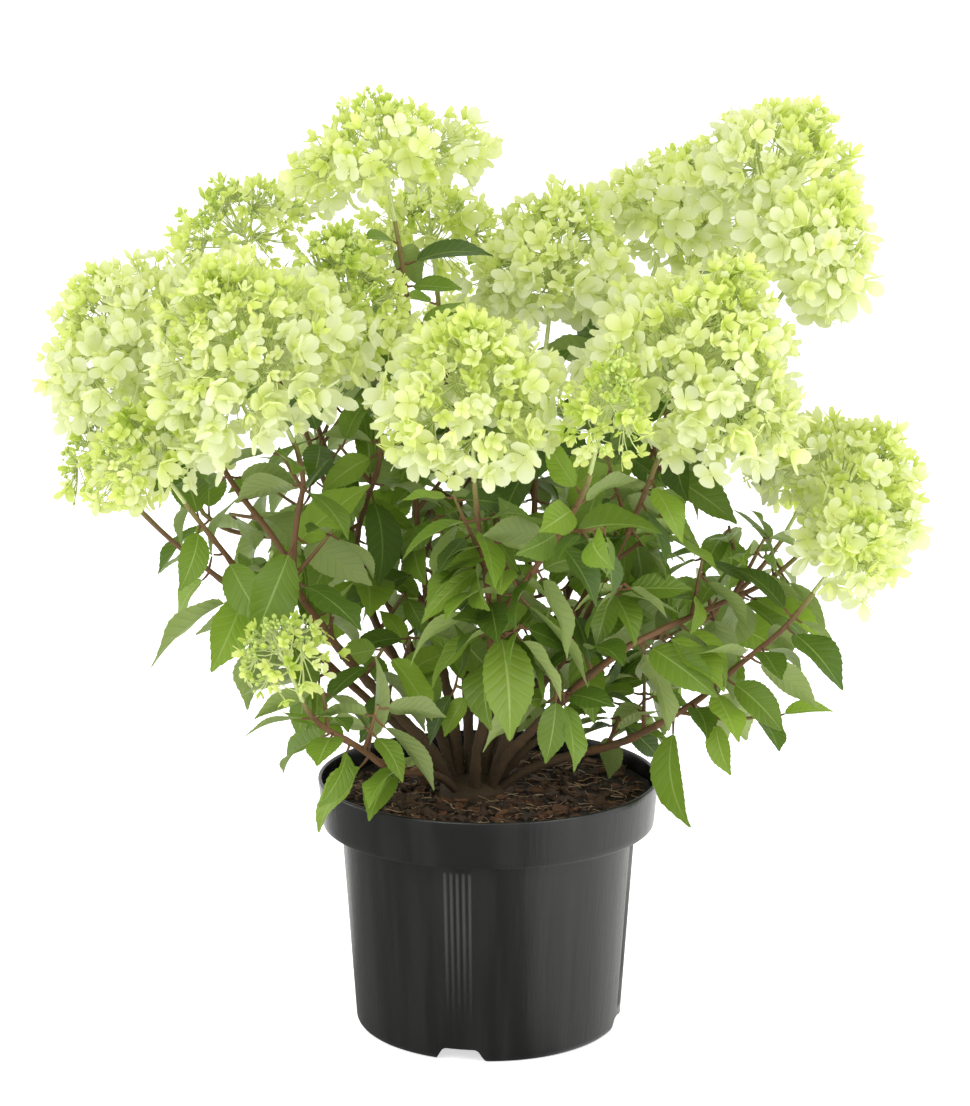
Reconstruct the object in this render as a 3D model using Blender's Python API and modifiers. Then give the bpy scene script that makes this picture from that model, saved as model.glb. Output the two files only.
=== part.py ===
"""Panicle hydrangea in a round black nursery pot.

A short woody stool stands on the potting mix and carries fifteen boughs. Each bough ends in a mass
of foliage: flowering shoots with opposite pairs of leaves and a few short side twigs. Each flowering
shoot is topped by a panicle, a dense head of four-sepalled florets. +Z is up, the front is -Y, and
the origin is the centre of the pot's flat underside. Everything is in metres.
"""
import math
import random
from collections import namedtuple

import bmesh
import bpy
from mathutils import Matrix, Quaternion, Vector
from mathutils.bvhtree import BVHTree
from mathutils.kdtree import KDTree

NAME = "panicle_hydrangea_in_pot"
CLEAR = 0.0003                  # gap between two solids that meet
UP = Vector((0.0, 0.0, 1.0))

# Pot: a 26 cm nursery container with a deep collar.
POT_HEIGHT = 0.195
RIM_RADIUS = 0.130
COLLAR_HEIGHT = 0.036
COLLAR_FOOT_RADIUS = 0.1266
BODY_TOP_RADIUS = 0.1124
BASE_RADIUS = 0.1020
BASE_CORNER = 0.0065
WALL = 0.0018
LIP = 0.0030                    # width of the rolled top edge
WALL_FILL = 0.0006              # the wall is this much thicker just above the floor
SKIRT_HEIGHT = 0.0122           # the floor is raised by this much inside the foot ring
SKIRT_RADIUS = 0.0905
PAD_RADIUS = 0.058              # flat middle of the underside
PAD_SLOPE = 0.004
NOTCH_COUNT = 4
NOTCH_WIDTH = 0.039
NOTCH_TAPER = 0.33              # the notch is this share narrower at its top
NOTCH_TOP = 0.0106
NOTCH_REACH = 0.030             # depth of a notch cutter, measured through the foot ring
NOTCH_CORNER = 0.003
NOTCH_TURN = math.radians(-102)
ROUND_STEPS = 30

# Potting mix and the stool that stands on it.
SOIL_EDGE = 0.1805
SOIL_TOP = 0.1812
SOIL_FLAT_RADIUS = 0.054
SOIL_BUMP = 0.0022
SOIL_WAVES = (61.0, 53.0, 130.0)  # radians of bump for each metre along X, Y and a diagonal
SOIL_RISE = 0.0035              # the mix lies higher on the +X side
SOIL_LAP = 0.0006               # its edge reaches this far past the collar's foot
SOIL_RINGS = (0.104, 0.079)     # radii of the rings between the edge and the flat middle
STOOL_X = -0.012
STOOL_HEIGHT = 0.036
STOOL_RADIUS = 0.024
STOOL_FLARE = 0.031
STOOL_FOOT = 0.004              # height of the flare's upright edge
STOOL_SHAPE = ((0.45, 0.97), (0.82, 0.80), (1.0, 0.48), (1.06, 0.22))  # shares of radius, height
STOOL_STEPS = 14
STOOL_LUMP = 0.07
STOOL_WAVES = ((3, 0.7, 0.6), (5, 0.0, 0.4))  # lumps round the stool: number, turn, share
FOOT_OUT = 0.010                # the boughs start this far from the stool's axis

# Limbs, shoots and twigs.
LIMB_SIDES = 6
SHOOT_SIDES = 3
BOUGH_RINGS = 5
SHOOT_RINGS = 5
BOUGH_TIP_RADIUS = 0.0031
SHOOT_TIP_RADIUS = 0.0022
STRAIGHT = 0.006                # straight stretch on both sides of each meeting
FORK_RADIUS = 0.0028
FORK_AT = 0.16                  # where a second shoot leaves the first, by length
FORK_EASE = 0.5                 # how much of the first shoot's direction the second keeps
KINK = 0.0016
PULL = 0.24                     # share of the way along which each end keeps its direction
ASKEW = Vector((0.3, 0.9, 0.31))  # no limb points this way

# Leaves: pairs that turn a quarter at each node.
NODE_PITCH = 0.037
PITCH_SPREAD = 0.15
TURN_SPREAD = 0.3
LEAF_LENGTH = (0.086, 0.116)
LEAF_SLIM = 0.50                # width by length
LEAF_THICK = 0.034              # thickness by length
LEAF_WIDEST = 0.42
LEAF_LIFT = (0.30, 0.80)        # slope of a young leaf against its shoot
LEAF_DROOP = (0.35, 1.90)       # how strongly a full-grown leaf hangs
SMALL_DROOP = 0.35              # share of that droop in the smallest leaves
STEEP_EASE = 0.35               # leaves that point up or down already hang this much less
NEARLY_UPRIGHT = 0.2            # below this, a leaf's level direction is too short to use
LEAF_ROLL = 0.45
LEAF_CUP = 0.05
PAIR_STEP = 0.0014              # the second leaf of a pair sits this much higher
LEAF_FOOT = -0.0004             # the leaf's foot lies just past its shoot's middle
LEAF_THICKEST = 0.13            # where the midrib is thickest, by length
FREE_FOOT = 0.015               # from here on it keeps clear of its own mass too
TOP_LEAF = 0.72                 # the leaves just under a head are smaller
TWIG_CHANCE = 0.9
TWIG_LENGTH = (0.055, 0.090)
TWIG_RADII = (0.0023, 0.0017)
TWIG_SPREAD = 0.9
TWIG_TURN = 0.8                 # a twig may leave its node turned by this much
TWIG_RINGS = 3
TWIG_START = (0.5, 0.15)        # how far it starts along its shoot and upwards
TWIG_RISE = (0.35, 0.8)         # how far it rises on the whole and at its end
TWIG_FIRST = 0.020              # distance of the first twig from the shoot's foot
TWIG_LAST = 0.72                # no twigs above this share of the shoot
TWIG_LEAF_FIRST = 0.50          # places of the leaf pairs on a twig, by its length
TWIG_LEAF_PITCH = 0.38
TWIG_LEAF_SCALE = 0.86
LEAF_FIRST = 0.014              # distance of the first leaves from the shoot's foot
NODE_MARGIN = 0.012             # no node lies closer than this to a shoot's tip
SHOOT_SAMPLE = 0.012            # spacing of the points that tell whose room a place is
WELD = 0.000002
JOIN_WELD = 0.00001             # points this close become one after a turn or a union
NUDGES = 12
NUDGE = 0.00004                 # a piece moves by up to this much more at each new try
SAFE = 0.0011                   # room kept round a leaf or twig
OWN_SHARE = 0.36                # this point of a leaf lies in its mass's own room
MOST_LEAVES = 22                # in one mass, so that the crown is even on all sides
TRIES = 9                       # other poses tried before a leaf or twig is skipped

# Panicles.
CORE = 0.756                    # core by the head's own size
DOME_SLANT = 1.42               # above 1 the head is widest below its middle
DOME_ROUND = 0.58               # below 1 its sides are fuller than a ball's
FLORET_RADIUS = 0.0135
FLORET_SPREAD = 0.12            # florets are larger or smaller by up to this share
FLORET_FOOT = 0.0012
FLORET_REACH = 0.58             # how far a floret's foot reaches towards the head's middle
FLORET_DEPTH = (0.90, 1.0)      # how far out a floret's face lies, by the head's own size
FLORET_TILT = 0.38
FLORET_PITCH = 0.036            # spacing of the florets over the head
FLORET_COVER = 0.35             # share of the head that they cover
FEWEST_FLORETS = 8
FLORET_TOP = 0.98               # they run from near the tip of the head
FLORET_RUN = 1.62               # down to its underside, by half its height
GOLDEN_TURN = math.pi * (3.0 - math.sqrt(5.0))
HEAD_LEAN = 2.3                 # radians of lean for each metre from the axis
LEAN_LIMIT = 0.62
STALK = 0.016                   # bare stalk between the shoot's tip and the head's foot
STALK_TIP_RADIUS = 0.0018

Bough = namedtuple("Bough", "name tip radius start rise heads")
Head = namedtuple("Head", "place width height")

# Each bough: name, tip, foot radius, start height on the stool, slope of the start, its heads.
BOUGHS = (
    Bough("left", (-0.136, -0.060, 0.345), 0.0050, 0.198, 0.9, ("left", "far_left")),
    Bough("left_low", (-0.128, 0.018, 0.282), 0.0040, 0.194, 0.6, ("left_low", "far_left_low")),
    Bough("front_left", (-0.078, -0.088, 0.228), 0.0034, 0.194, 0.3, ("front_left_small",)),
    Bough("centre_left", (-0.100, 0.062, 0.335), 0.0045, 0.198, 1.0,
          ("centre_left", "back_left_high")),
    Bough("top_left", (-0.048, 0.046, 0.330), 0.0048, 0.206, 2.2, ("top_left",)),
    Bough("front", (0.000, -0.070, 0.300), 0.0045, 0.197, 1.2, ("front", "front_right_small")),
    Bough("centre", (0.030, 0.044, 0.345), 0.0048, 0.207, 2.6, ("centre_back",)),
    Bough("right", (0.060, -0.034, 0.300), 0.0046, 0.205, 1.6, ("right",)),
    Bough("top_right", (0.085, 0.022, 0.350), 0.0050, 0.200, 1.1, ("top_right", "right_edge")),
    Bough("far_right", (0.098, -0.082, 0.312), 0.0045, 0.196, 0.8, ("far_right",)),
    Bough("right_low", (0.126, -0.036, 0.243), 0.0040, 0.193, 0.35, ("far_right_low",)),
    Bough("back_left", (-0.090, 0.122, 0.318), 0.0045, 0.192, 0.65, ("back_left", "back_left_low")),
    Bough("back", (-0.020, 0.112, 0.335), 0.0046, 0.199, 1.2, ("back_centre", "back")),
    Bough("back_right", (0.070, 0.110, 0.330), 0.0046, 0.198, 1.0, ("back_right", "right_back")),
    Bough("back_right_low", (0.106, 0.056, 0.256), 0.0038, 0.194, 0.5, ("back_right_low",)),
)

# Each head: centre, width across and height along its own axis.
HEADS = {
    "top_left": Head((-0.080, 0.050, 0.665), 0.140, 0.076),
    "back_left_high": Head((-0.196, 0.155, 0.599), 0.118, 0.066),
    "back_centre": Head((-0.046, 0.195, 0.592), 0.110, 0.074),
    "far_left": Head((-0.271, 0.010, 0.532), 0.138, 0.100),
    "left": Head((-0.172, -0.105, 0.541), 0.136, 0.134),
    "centre_left": Head((-0.102, -0.012, 0.555), 0.080, 0.146),
    "front": Head((-0.012, -0.180, 0.520), 0.114, 0.122),
    "centre_back": Head((0.052, 0.085, 0.577), 0.118, 0.108),
    "right_back": Head((0.149, 0.165, 0.612), 0.106, 0.104),
    "top_right": Head((0.220, 0.050, 0.646), 0.130, 0.106),
    "right_edge": Head((0.234, -0.054, 0.604), 0.080, 0.094),
    "right": Head((0.150, -0.120, 0.534), 0.144, 0.138),
    "front_right_small": Head((0.080, -0.205, 0.510), 0.054, 0.080),
    "far_right": Head((0.272, 0.000, 0.421), 0.128, 0.098),
    "far_right_low": Head((0.262, -0.094, 0.394), 0.068, 0.062),
    "far_left_low": Head((-0.299, 0.075, 0.430), 0.070, 0.060),
    "left_low": Head((-0.248, -0.070, 0.459), 0.092, 0.068),
    "front_left_small": Head((-0.148, -0.135, 0.323), 0.068, 0.056),
    "back_left": Head((-0.180, 0.262, 0.500), 0.126, 0.104),
    "back_left_low": Head((-0.258, 0.165, 0.420), 0.096, 0.082),
    "back": Head((-0.020, 0.280, 0.478), 0.118, 0.100),
    "back_right": Head((0.146, 0.255, 0.492), 0.122, 0.106),
    "back_right_low": Head((0.266, 0.160, 0.400), 0.102, 0.084),
}

# Each kind of surface: base colour, roughness and the angle in degrees up to which it is smooth.
SURFACES = {
    "pot": ((0.012, 0.012, 0.013), 0.42, 32),
    "soil": ((0.045, 0.026, 0.015), 0.95, 40),
    "bark": ((0.120, 0.052, 0.028), 0.75, 60),
    "leaf": ((0.065, 0.180, 0.030), 0.50, 0),
    "bloom": ((0.700, 0.760, 0.330), 0.60, 0),
}


# ---- objects and meshes ------------------------------------------------------------------------

def clear_scene():
    for thing in list(bpy.data.objects):
        bpy.data.objects.remove(thing, do_unlink=True)


def new_collection(name):
    group = bpy.data.collections.new(name)
    bpy.context.scene.collection.children.link(group)
    return group


def material(name, colour, roughness):
    made = bpy.data.materials.new(name)
    made.use_nodes = True
    shader = made.node_tree.nodes["Principled BSDF"]
    shader.inputs["Base Color"].default_value = (*colour, 1.0)
    shader.inputs["Roughness"].default_value = roughness
    shader.inputs["Metallic"].default_value = 0.0
    return made


def add_object(name, mesh, group):
    thing = bpy.data.objects.new(name, mesh)
    group.objects.link(thing)
    return thing


def object_from(name, bm, group):
    mesh = bpy.data.meshes.new(name)
    bm.to_mesh(mesh)
    bm.free()
    return add_object(name, mesh, group)


def baked(thing, weld=WELD):
    """The object's evaluated mesh in world space, as a bmesh with its points welded."""
    bpy.context.view_layer.update()
    seen = thing.evaluated_get(bpy.context.evaluated_depsgraph_get())
    mesh = bpy.data.meshes.new_from_object(seen)
    bm = bmesh.new()
    bm.from_mesh(mesh)
    bpy.data.meshes.remove(mesh)
    bm.transform(thing.matrix_world)
    bmesh.ops.remove_doubles(bm, verts=bm.verts, dist=weld)
    return bm


def finish(thing, kind):
    """Give the object its own material and, on round pieces, smooth shading."""
    colour, roughness, smooth = SURFACES[kind]
    thing.data.materials.clear()
    thing.data.materials.append(material(thing.name, colour, roughness))
    if smooth > 0:
        thing.data.shade_smooth()
        thing.data.set_sharp_from_angle(angle=math.radians(smooth))


def turned(name, profile, steps, group):
    """A closed turned solid: the profile's (radius, height) points with a Screw modifier."""
    mesh = bpy.data.meshes.new(name)
    points = [(radius, 0.0, height) for radius, height in profile]
    mesh.from_pydata(points, [(i, i + 1) for i in range(len(points) - 1)], [])
    thing = add_object(name, mesh, group)
    screw = thing.modifiers.new("Turn", "SCREW")
    screw.steps = steps
    screw.render_steps = steps
    screw.use_merge_vertices = True
    screw.merge_threshold = JOIN_WELD
    bm = baked(thing)
    bmesh.ops.recalc_face_normals(bm, faces=bm.faces)
    bpy.data.objects.remove(thing, do_unlink=True)
    return object_from(name, bm, group)


# ---- pot, potting mix and stool ----------------------------------------------------------------

def arc(centre, radius, start, end, steps):
    """Points of a round corner, from one angle to the other, in degrees."""
    angles = [math.radians(start + (end - start) * i / steps) for i in range(steps + 1)]
    return [(centre[0] + radius * math.cos(a), centre[1] + radius * math.sin(a)) for a in angles]


def pot_outside():
    collar_foot = POT_HEIGHT - COLLAR_HEIGHT
    half_lip = LIP / 2
    lip = arc((RIM_RADIUS - half_lip, POT_HEIGHT - half_lip), half_lip, 90, 0, 2)
    step = [(COLLAR_FOOT_RADIUS, collar_foot), (BODY_TOP_RADIUS, collar_foot - WALL)]
    corner = arc((BASE_RADIUS - BASE_CORNER, BASE_CORNER), BASE_CORNER, 0, -90, 3)
    skirt = [(SKIRT_RADIUS + WALL, 0.0), (SKIRT_RADIUS, WALL), (SKIRT_RADIUS, SKIRT_HEIGHT)]
    pad = [(PAD_RADIUS + PAD_SLOPE, SKIRT_HEIGHT), (PAD_RADIUS, 0.0), (0.0, 0.0)]
    return lip + step + corner + skirt + pad


def pot_inside(inset=0.0):
    """The inner side from the middle of the floor to the lip, drawn in by an inset."""
    collar_foot = POT_HEIGHT - COLLAR_HEIGHT
    floor = WALL + inset
    shelf = SKIRT_HEIGHT + WALL + inset
    return [
        (0.0, floor),
        (PAD_RADIUS - WALL - inset, floor),
        (PAD_RADIUS + PAD_SLOPE - WALL - inset, shelf),
        (BASE_RADIUS - BASE_CORNER - WALL - inset, shelf),
        (BASE_RADIUS - WALL - WALL_FILL - inset, shelf + BASE_CORNER - WALL),
        (BODY_TOP_RADIUS - WALL - inset, collar_foot - WALL / 2),
        (COLLAR_FOOT_RADIUS - WALL - inset, collar_foot + WALL / 2 + inset),
        (RIM_RADIUS - LIP - inset, POT_HEIGHT - LIP / 2),
    ]


def notch_cutters(pot, cutters):
    """Drain notches through the foot ring, spaced evenly round the pot."""
    reach = (SKIRT_RADIUS + BASE_RADIUS) / 2
    for index in range(NOTCH_COUNT):
        turn = NOTCH_TURN + index * math.tau / NOTCH_COUNT
        bm = bmesh.new()
        bmesh.ops.create_cube(bm, size=1.0)
        bmesh.ops.scale(bm, vec=(NOTCH_REACH, NOTCH_WIDTH, 2 * NOTCH_TOP), verts=bm.verts)
        for vertex in bm.verts:
            vertex.co.y *= 1.0 - math.copysign(NOTCH_TAPER, vertex.co.z)
        corners = [edge for edge in bm.edges
                   if abs(edge.verts[0].co.x - edge.verts[1].co.x) > NOTCH_REACH / 2
                   and edge.verts[0].co.z > 0]
        bmesh.ops.bevel(bm, geom=corners, offset=NOTCH_CORNER, segments=2, affect="EDGES", profile=0.5)
        cutter = object_from(f"notch_cutter_{index + 1}", bm, cutters)
        cutter.location = (reach * math.cos(turn), reach * math.sin(turn), 0.0)
        cutter.rotation_euler.z = turn
        cutter.hide_render = True
        cutter.display_type = "WIRE"
        cut = pot.modifiers.new("Notch", "BOOLEAN")
        cut.operation = "DIFFERENCE"
        cut.object = cutter


def make_pot(parts, cutters):
    pot = turned("pot", pot_outside() + pot_inside() + [pot_outside()[0]], ROUND_STEPS, parts)
    notch_cutters(pot, cutters)
    finish(pot, "pot")
    return pot


def soil_height(x, y):
    """Height of the potting mix: flat round the stool, low bumps outside, higher on the right."""
    away = math.hypot(x, y)
    share = max(0.0, min(1.0, (away - SOIL_FLAT_RADIUS) / (RIM_RADIUS - SOIL_FLAT_RADIUS)))
    long, broad, fine = SOIL_WAVES
    bump = SOIL_BUMP * (math.sin(long * x + 1.3) * math.cos(broad * y) + math.sin(fine * (x - y)) / 2)
    edge = SOIL_TOP + (SOIL_EDGE - SOIL_TOP) * share
    return edge + share * (bump + SOIL_RISE * x / RIM_RADIUS)


def make_soil(parts):
    inset = CLEAR / math.cos(math.pi / ROUND_STEPS)
    sides = pot_inside(inset)[:-1]
    edge_radius = COLLAR_FOOT_RADIUS - WALL - inset + SOIL_LAP
    rings = [(edge_radius, SOIL_EDGE)] + [(radius, SOIL_TOP) for radius in SOIL_RINGS]
    flat = [(SOIL_FLAT_RADIUS, SOIL_TOP), (0.0, SOIL_TOP)]
    soil = turned("soil", (sides + rings + flat)[::-1], ROUND_STEPS, parts)
    for vertex in soil.data.vertices:
        if vertex.co.z > SOIL_EDGE - CLEAR:
            vertex.co.z = soil_height(vertex.co.x, vertex.co.y)
    finish(soil, "soil")
    return soil


def stool_solid(name, group, grow=0.0):
    """The woody stool: flared foot with a flat cut, round lumpy top. It can be drawn fatter."""
    foot = SOIL_TOP + CLEAR
    waist = STOOL_RADIUS + grow
    top = [(0.0, foot + STOOL_HEIGHT + grow)]
    body = [(share * waist, foot + height * STOOL_HEIGHT + grow * height) for share, height in STOOL_SHAPE]
    flare = [(STOOL_FLARE + grow, foot + STOOL_FOOT), (STOOL_FLARE + grow, foot - grow), (0.0, foot - grow)]
    stool = turned(name, top + body + flare, STOOL_STEPS, group)
    for vertex in stool.data.vertices:
        turn = math.atan2(vertex.co.y, vertex.co.x)
        lumps = sum(share * math.sin(number * turn + start) for number, start, share in STOOL_WAVES)
        swell = 1.0 + STOOL_LUMP * lumps
        vertex.co.x = vertex.co.x * swell + STOOL_X
        vertex.co.y = vertex.co.y * swell
    return stool


# ---- limbs -------------------------------------------------------------------------------------

def smooth_path(start, start_way, end, end_way, count):
    """Evenly numbered points of a cubic curve with the given end directions."""
    start, end = Vector(start), Vector(end)
    pull = (end - start).length * PULL
    first = start + Vector(start_way).normalized() * pull
    second = end - Vector(end_way).normalized() * pull
    points = []
    for index in range(count):
        t = index / (count - 1)
        s = 1.0 - t
        points.append(start * s ** 3 + first * 3 * s * s * t + second * 3 * s * t * t + end * t ** 3)
    return points


def kinked(points, rng):
    """Small sideways steps at the inner points, as the nodes of a woody shoot make."""
    moved = [points[0].copy()]
    for point in points[1:-1]:
        moved.append(point + Vector([rng.uniform(-KINK, KINK) for _ in range(3)]))
    return moved + [points[-1].copy()]


def profile_curve(sides, group):
    """A closed flat outline of unit radius that limbs are swept with."""
    data = bpy.data.curves.new(f"section_{sides}", "CURVE")
    spline = data.splines.new("POLY")
    spline.points.add(sides - 1)
    for index, point in enumerate(spline.points):
        turn = index * math.tau / sides
        point.co = (math.cos(turn), math.sin(turn), 0.0, 1.0)
    spline.use_cyclic_u = True
    thing = add_object(data.name, data, group)
    thing.hide_render = True
    thing.display_type = "WIRE"
    return thing


def sweep(name, points, radii, section, group):
    """A tapering limb: a curve swept with a section, caps filled, turned into a welded mesh."""
    data = bpy.data.curves.new(name, "CURVE")
    data.dimensions = "3D"
    data.bevel_mode = "OBJECT"
    data.bevel_object = section
    data.use_fill_caps = True
    spline = data.splines.new("POLY")
    spline.points.add(len(points) - 1)
    for slot, point, radius in zip(spline.points, points, radii):
        slot.co = (*point, 1.0)
        slot.radius = radius
    thing = add_object(name, data, group)
    bm = baked(thing)
    bmesh.ops.recalc_face_normals(bm, faces=bm.faces)
    bpy.data.objects.remove(thing, do_unlink=True)
    return object_from(name, bm, group)


def taper(first, last, count):
    return [first + (last - first) * index / (count - 1) for index in range(count)]


def bough_path(bough):
    """From inside the stool to the bough's tip, with a straight last stretch."""
    rng = random.Random(f"bough {bough.name}")
    tip = Vector(bough.tip)
    foot = Vector((STOOL_X, 0.0, bough.start))
    flat = (tip - foot).to_2d().normalized()
    foot += Vector((flat.x, flat.y, 0.0)) * FOOT_OUT
    start_way = Vector((flat.x, flat.y, bough.rise))
    goal = sum((head_foot(HEADS[name]) for name in bough.heads), Vector()) / len(bough.heads)
    end_way = ((tip - foot).normalized() + (goal - tip).normalized()).normalized()
    points = kinked(smooth_path(foot, start_way, tip - end_way * STRAIGHT, end_way, BOUGH_RINGS), rng)
    return points + [tip]


def make_bough(bough, stool_cutter, section, parts):
    points = bough_path(bough)
    radii = taper(bough.radius, BOUGH_TIP_RADIUS, len(points))
    limb = sweep(f"bough_{bough.name}", points, radii, section, parts)
    cut = limb.modifiers.new("Foot", "BOOLEAN")
    cut.operation = "DIFFERENCE"
    cut.object = stool_cutter
    solid = object_from(limb.name + "_cut", baked(limb), parts)
    bpy.data.objects.remove(limb, do_unlink=True)
    solid.name = f"bough_{bough.name}"
    finish(solid, "bark")
    return solid


# ---- shoots, twigs and leaves ------------------------------------------------------------------

def head_axis(head):
    """Direction of a head: upright at the middle of the plant, leaning out at its edge."""
    centre = Vector(head.place)
    away = centre.to_2d()
    lean = min(LEAN_LIMIT, HEAD_LEAN * away.length)
    flat = away.normalized() * math.sin(lean)
    return Vector((flat.x, flat.y, math.cos(lean)))


def head_foot(head):
    """Where the shoot under a head ends."""
    return Vector(head.place) - head_axis(head) * (head.height / 2 + STALK)


def shoot_paths(bough):
    """The flowering shoots of one mass: the first from the bough's tip, the others from it."""
    rng = random.Random(f"shoots of {bough.name}")
    last, tip = bough_path(bough)[-2:]
    way = (tip - last).normalized()
    start = tip + way * CLEAR
    paths = []
    for number, name in enumerate(bough.heads):
        head = HEADS[name]
        axis = head_axis(head)
        end = head_foot(head)
        if number == 0:
            lead = [start]
            origin, origin_way = start + way * STRAIGHT, way
        else:
            lead = []
            origin = paths[0][1].lerp(paths[0][2], FORK_AT * (SHOOT_RINGS - 1))
            origin_way = (end - origin).normalized() + way * FORK_EASE
        curve = smooth_path(origin, origin_way, end - axis * STRAIGHT, axis, SHOOT_RINGS)
        paths.append(lead + kinked(curve, rng) + [end])
    return paths


def point_along(path, distance):
    """Point and direction at a distance along a path."""
    for first, second in zip(path, path[1:]):
        length = (second - first).length
        if distance <= length:
            return first.lerp(second, distance / length), (second - first).normalized()
        distance -= length
    return path[-1], (path[-1] - path[-2]).normalized()


def path_length(path):
    return sum((second - first).length for first, second in zip(path, path[1:]))


def turned_to(axis):
    """Rotation that carries +Z to an axis."""
    return UP.rotation_difference(axis).to_matrix().to_4x4()


def side_of(way, turn):
    """Unit vector square to a direction, at a turn about it."""
    square = way.cross(ASKEW).normalized()
    return Quaternion(way, turn) @ square


def nodes_along(path, first, pitch, rng):
    """Nodes of a shoot: share of its length, place, direction and turn, a quarter turn apart."""
    length = path_length(path)
    distance = first
    turn = rng.uniform(0.0, math.tau)
    while distance < length - NODE_MARGIN:
        root, way = point_along(path, distance)
        yield distance / length, root, way, turn
        distance += pitch * rng.uniform(1.0 - PITCH_SPREAD, 1.0 + PITCH_SPREAD)
        turn += math.pi / 2 + rng.uniform(-TURN_SPREAD, TURN_SPREAD)


def leaf_frame(root, way, turn, size, rng):
    """Position and axes of a leaf: X along the blade, Y across it, Z out of its upper face."""
    lift = rng.uniform(*LEAF_LIFT)
    droop = rng.uniform(*LEAF_DROOP) * (SMALL_DROOP + (1.0 - SMALL_DROOP) * size / LEAF_LENGTH[1])
    out = side_of(way, turn)
    along = (out + way * lift).normalized() - UP * droop * (1.0 - STEEP_EASE * abs(out.z))
    along.normalize()
    across = UP.cross(along)
    if across.length < NEARLY_UPRIGHT:
        across = out.cross(along)
    across = Quaternion(along, rng.uniform(-LEAF_ROLL, LEAF_ROLL)) @ across.normalized()
    face = along.cross(across)
    frame = Matrix((along, across, face)).transposed().to_4x4()
    frame.translation = root
    return frame


def leaf_solid(frame, size, grow=0.0, foot=LEAF_FOOT):
    """A leaf of eight faces, drawn out from a ball of eight faces: pointed, widest near its foot."""
    bm = bmesh.new()
    bmesh.ops.create_uvsphere(bm, u_segments=4, v_segments=2, radius=1.0)
    width = size * LEAF_SLIM / 2 + grow
    thick = size * LEAF_THICK / 2 + grow
    for vertex in bm.verts:
        x, y, z = vertex.co
        if abs(z) > 0.5:
            vertex.co = ((size + grow) if z > 0 else foot, 0.0, 0.0)
        else:
            edge = abs(x) > 0.5
            reach = LEAF_WIDEST if edge else LEAF_THICKEST
            cup = size * LEAF_CUP if edge else 0.0
            vertex.co = (size * reach, x * width, y * thick + cup)
    bmesh.ops.recalc_face_normals(bm, faces=bm.faces)
    bmesh.ops.triangulate(bm, faces=bm.faces)
    bm.transform(frame)
    return bm


def limb_solid(points, radii):
    """A three-sided limb of cones, one for each stretch, to try for room with."""
    bm = bmesh.new()
    for first, second, foot, top in zip(points, points[1:], radii, radii[1:]):
        way = second - first
        made = bmesh.ops.create_cone(bm, cap_ends=True, segments=SHOOT_SIDES, radius1=foot,
                                     radius2=top, depth=way.length)
        place = Matrix.Translation((first + second) / 2) @ turned_to(way.normalized())
        bmesh.ops.transform(bm, matrix=place, verts=made["verts"])
    return bm


class Room:
    """Faces that leaves and twigs keep clear of."""

    def __init__(self, *rooms):
        self.points = []
        self.faces = []
        for room in rooms:
            start = len(self.points)
            self.points += room.points
            self.faces += [[start + corner for corner in face] for face in room.faces]
        self.tree = None

    def add(self, bm):
        start = len(self.points)
        bm.verts.index_update()
        self.points += [vertex.co.copy() for vertex in bm.verts]
        self.faces += [[start + vertex.index for vertex in face.verts] for face in bm.faces]
        self.tree = None
        bm.free()

    def is_clear(self, bm):
        if self.tree is None:
            self.tree = BVHTree.FromPolygons(self.points, self.faces)
        clear = not BVHTree.FromBMesh(bm).overlap(self.tree)
        bm.free()
        return clear


class Mass:
    """One mass of foliage: its flowering shoots, side twigs and leaves."""

    def __init__(self, bough):
        self.name = bough.name
        self.paths = shoot_paths(bough)
        self.radii = [taper(BOUGH_TIP_RADIUS if number == 0 else FORK_RADIUS, SHOOT_TIP_RADIUS, len(path))
                      for number, path in enumerate(self.paths)]
        self.twigs = []
        self.leaves = []
        self.room = Room()
        for path, radii in zip(self.paths, self.radii):
            self.room.add(limb_solid(path, radii))


class Territories:
    """A point belongs to the mass whose shoots lie nearest."""

    def __init__(self, masses):
        self.owner = []
        points = []
        for mass in masses:
            for path in mass.paths:
                steps = max(2, int(path_length(path) / SHOOT_SAMPLE))
                for step in range(steps):
                    points.append(point_along(path, path_length(path) * step / steps)[0])
                    self.owner.append(mass)
        self.tree = KDTree(len(points))
        for number, point in enumerate(points):
            self.tree.insert(point, number)
        self.tree.balance()

    def holds(self, mass, point):
        return self.owner[self.tree.find(point)[1]] is mass


def grow_twigs(mass, lands, others):
    """Short side twigs from the lower nodes of the shoots."""
    for number, path in enumerate(mass.paths):
        nodes = nodes_along(path, TWIG_FIRST, NODE_PITCH, random.Random(f"{mass.name} twigs {number}"))
        for node, (share, root, way, turn) in enumerate(nodes):
            rng = random.Random(f"{mass.name} twig {number} {node}")
            tries = TRIES if share < TWIG_LAST and rng.random() < TWIG_CHANCE else 0
            for _ in range(tries):
                length = rng.uniform(*TWIG_LENGTH)
                out = side_of(way, turn + rng.uniform(-TWIG_TURN, TWIG_TURN)) * TWIG_SPREAD
                out = (out + way * TWIG_START[0] + UP * TWIG_START[1]).normalized()
                end = root + (out + UP * TWIG_RISE[0]).normalized() * length
                points = smooth_path(root, out, end, UP * TWIG_RISE[1] + out, TWIG_RINGS)
                radii = taper(*TWIG_RADII, len(points))
                trial = limb_solid(points, [radius + SAFE for radius in radii])
                if lands.holds(mass, end) and others.is_clear(trial):
                    mass.twigs.append((points, radii))
                    mass.room.add(limb_solid(points, radii))
                    break


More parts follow.
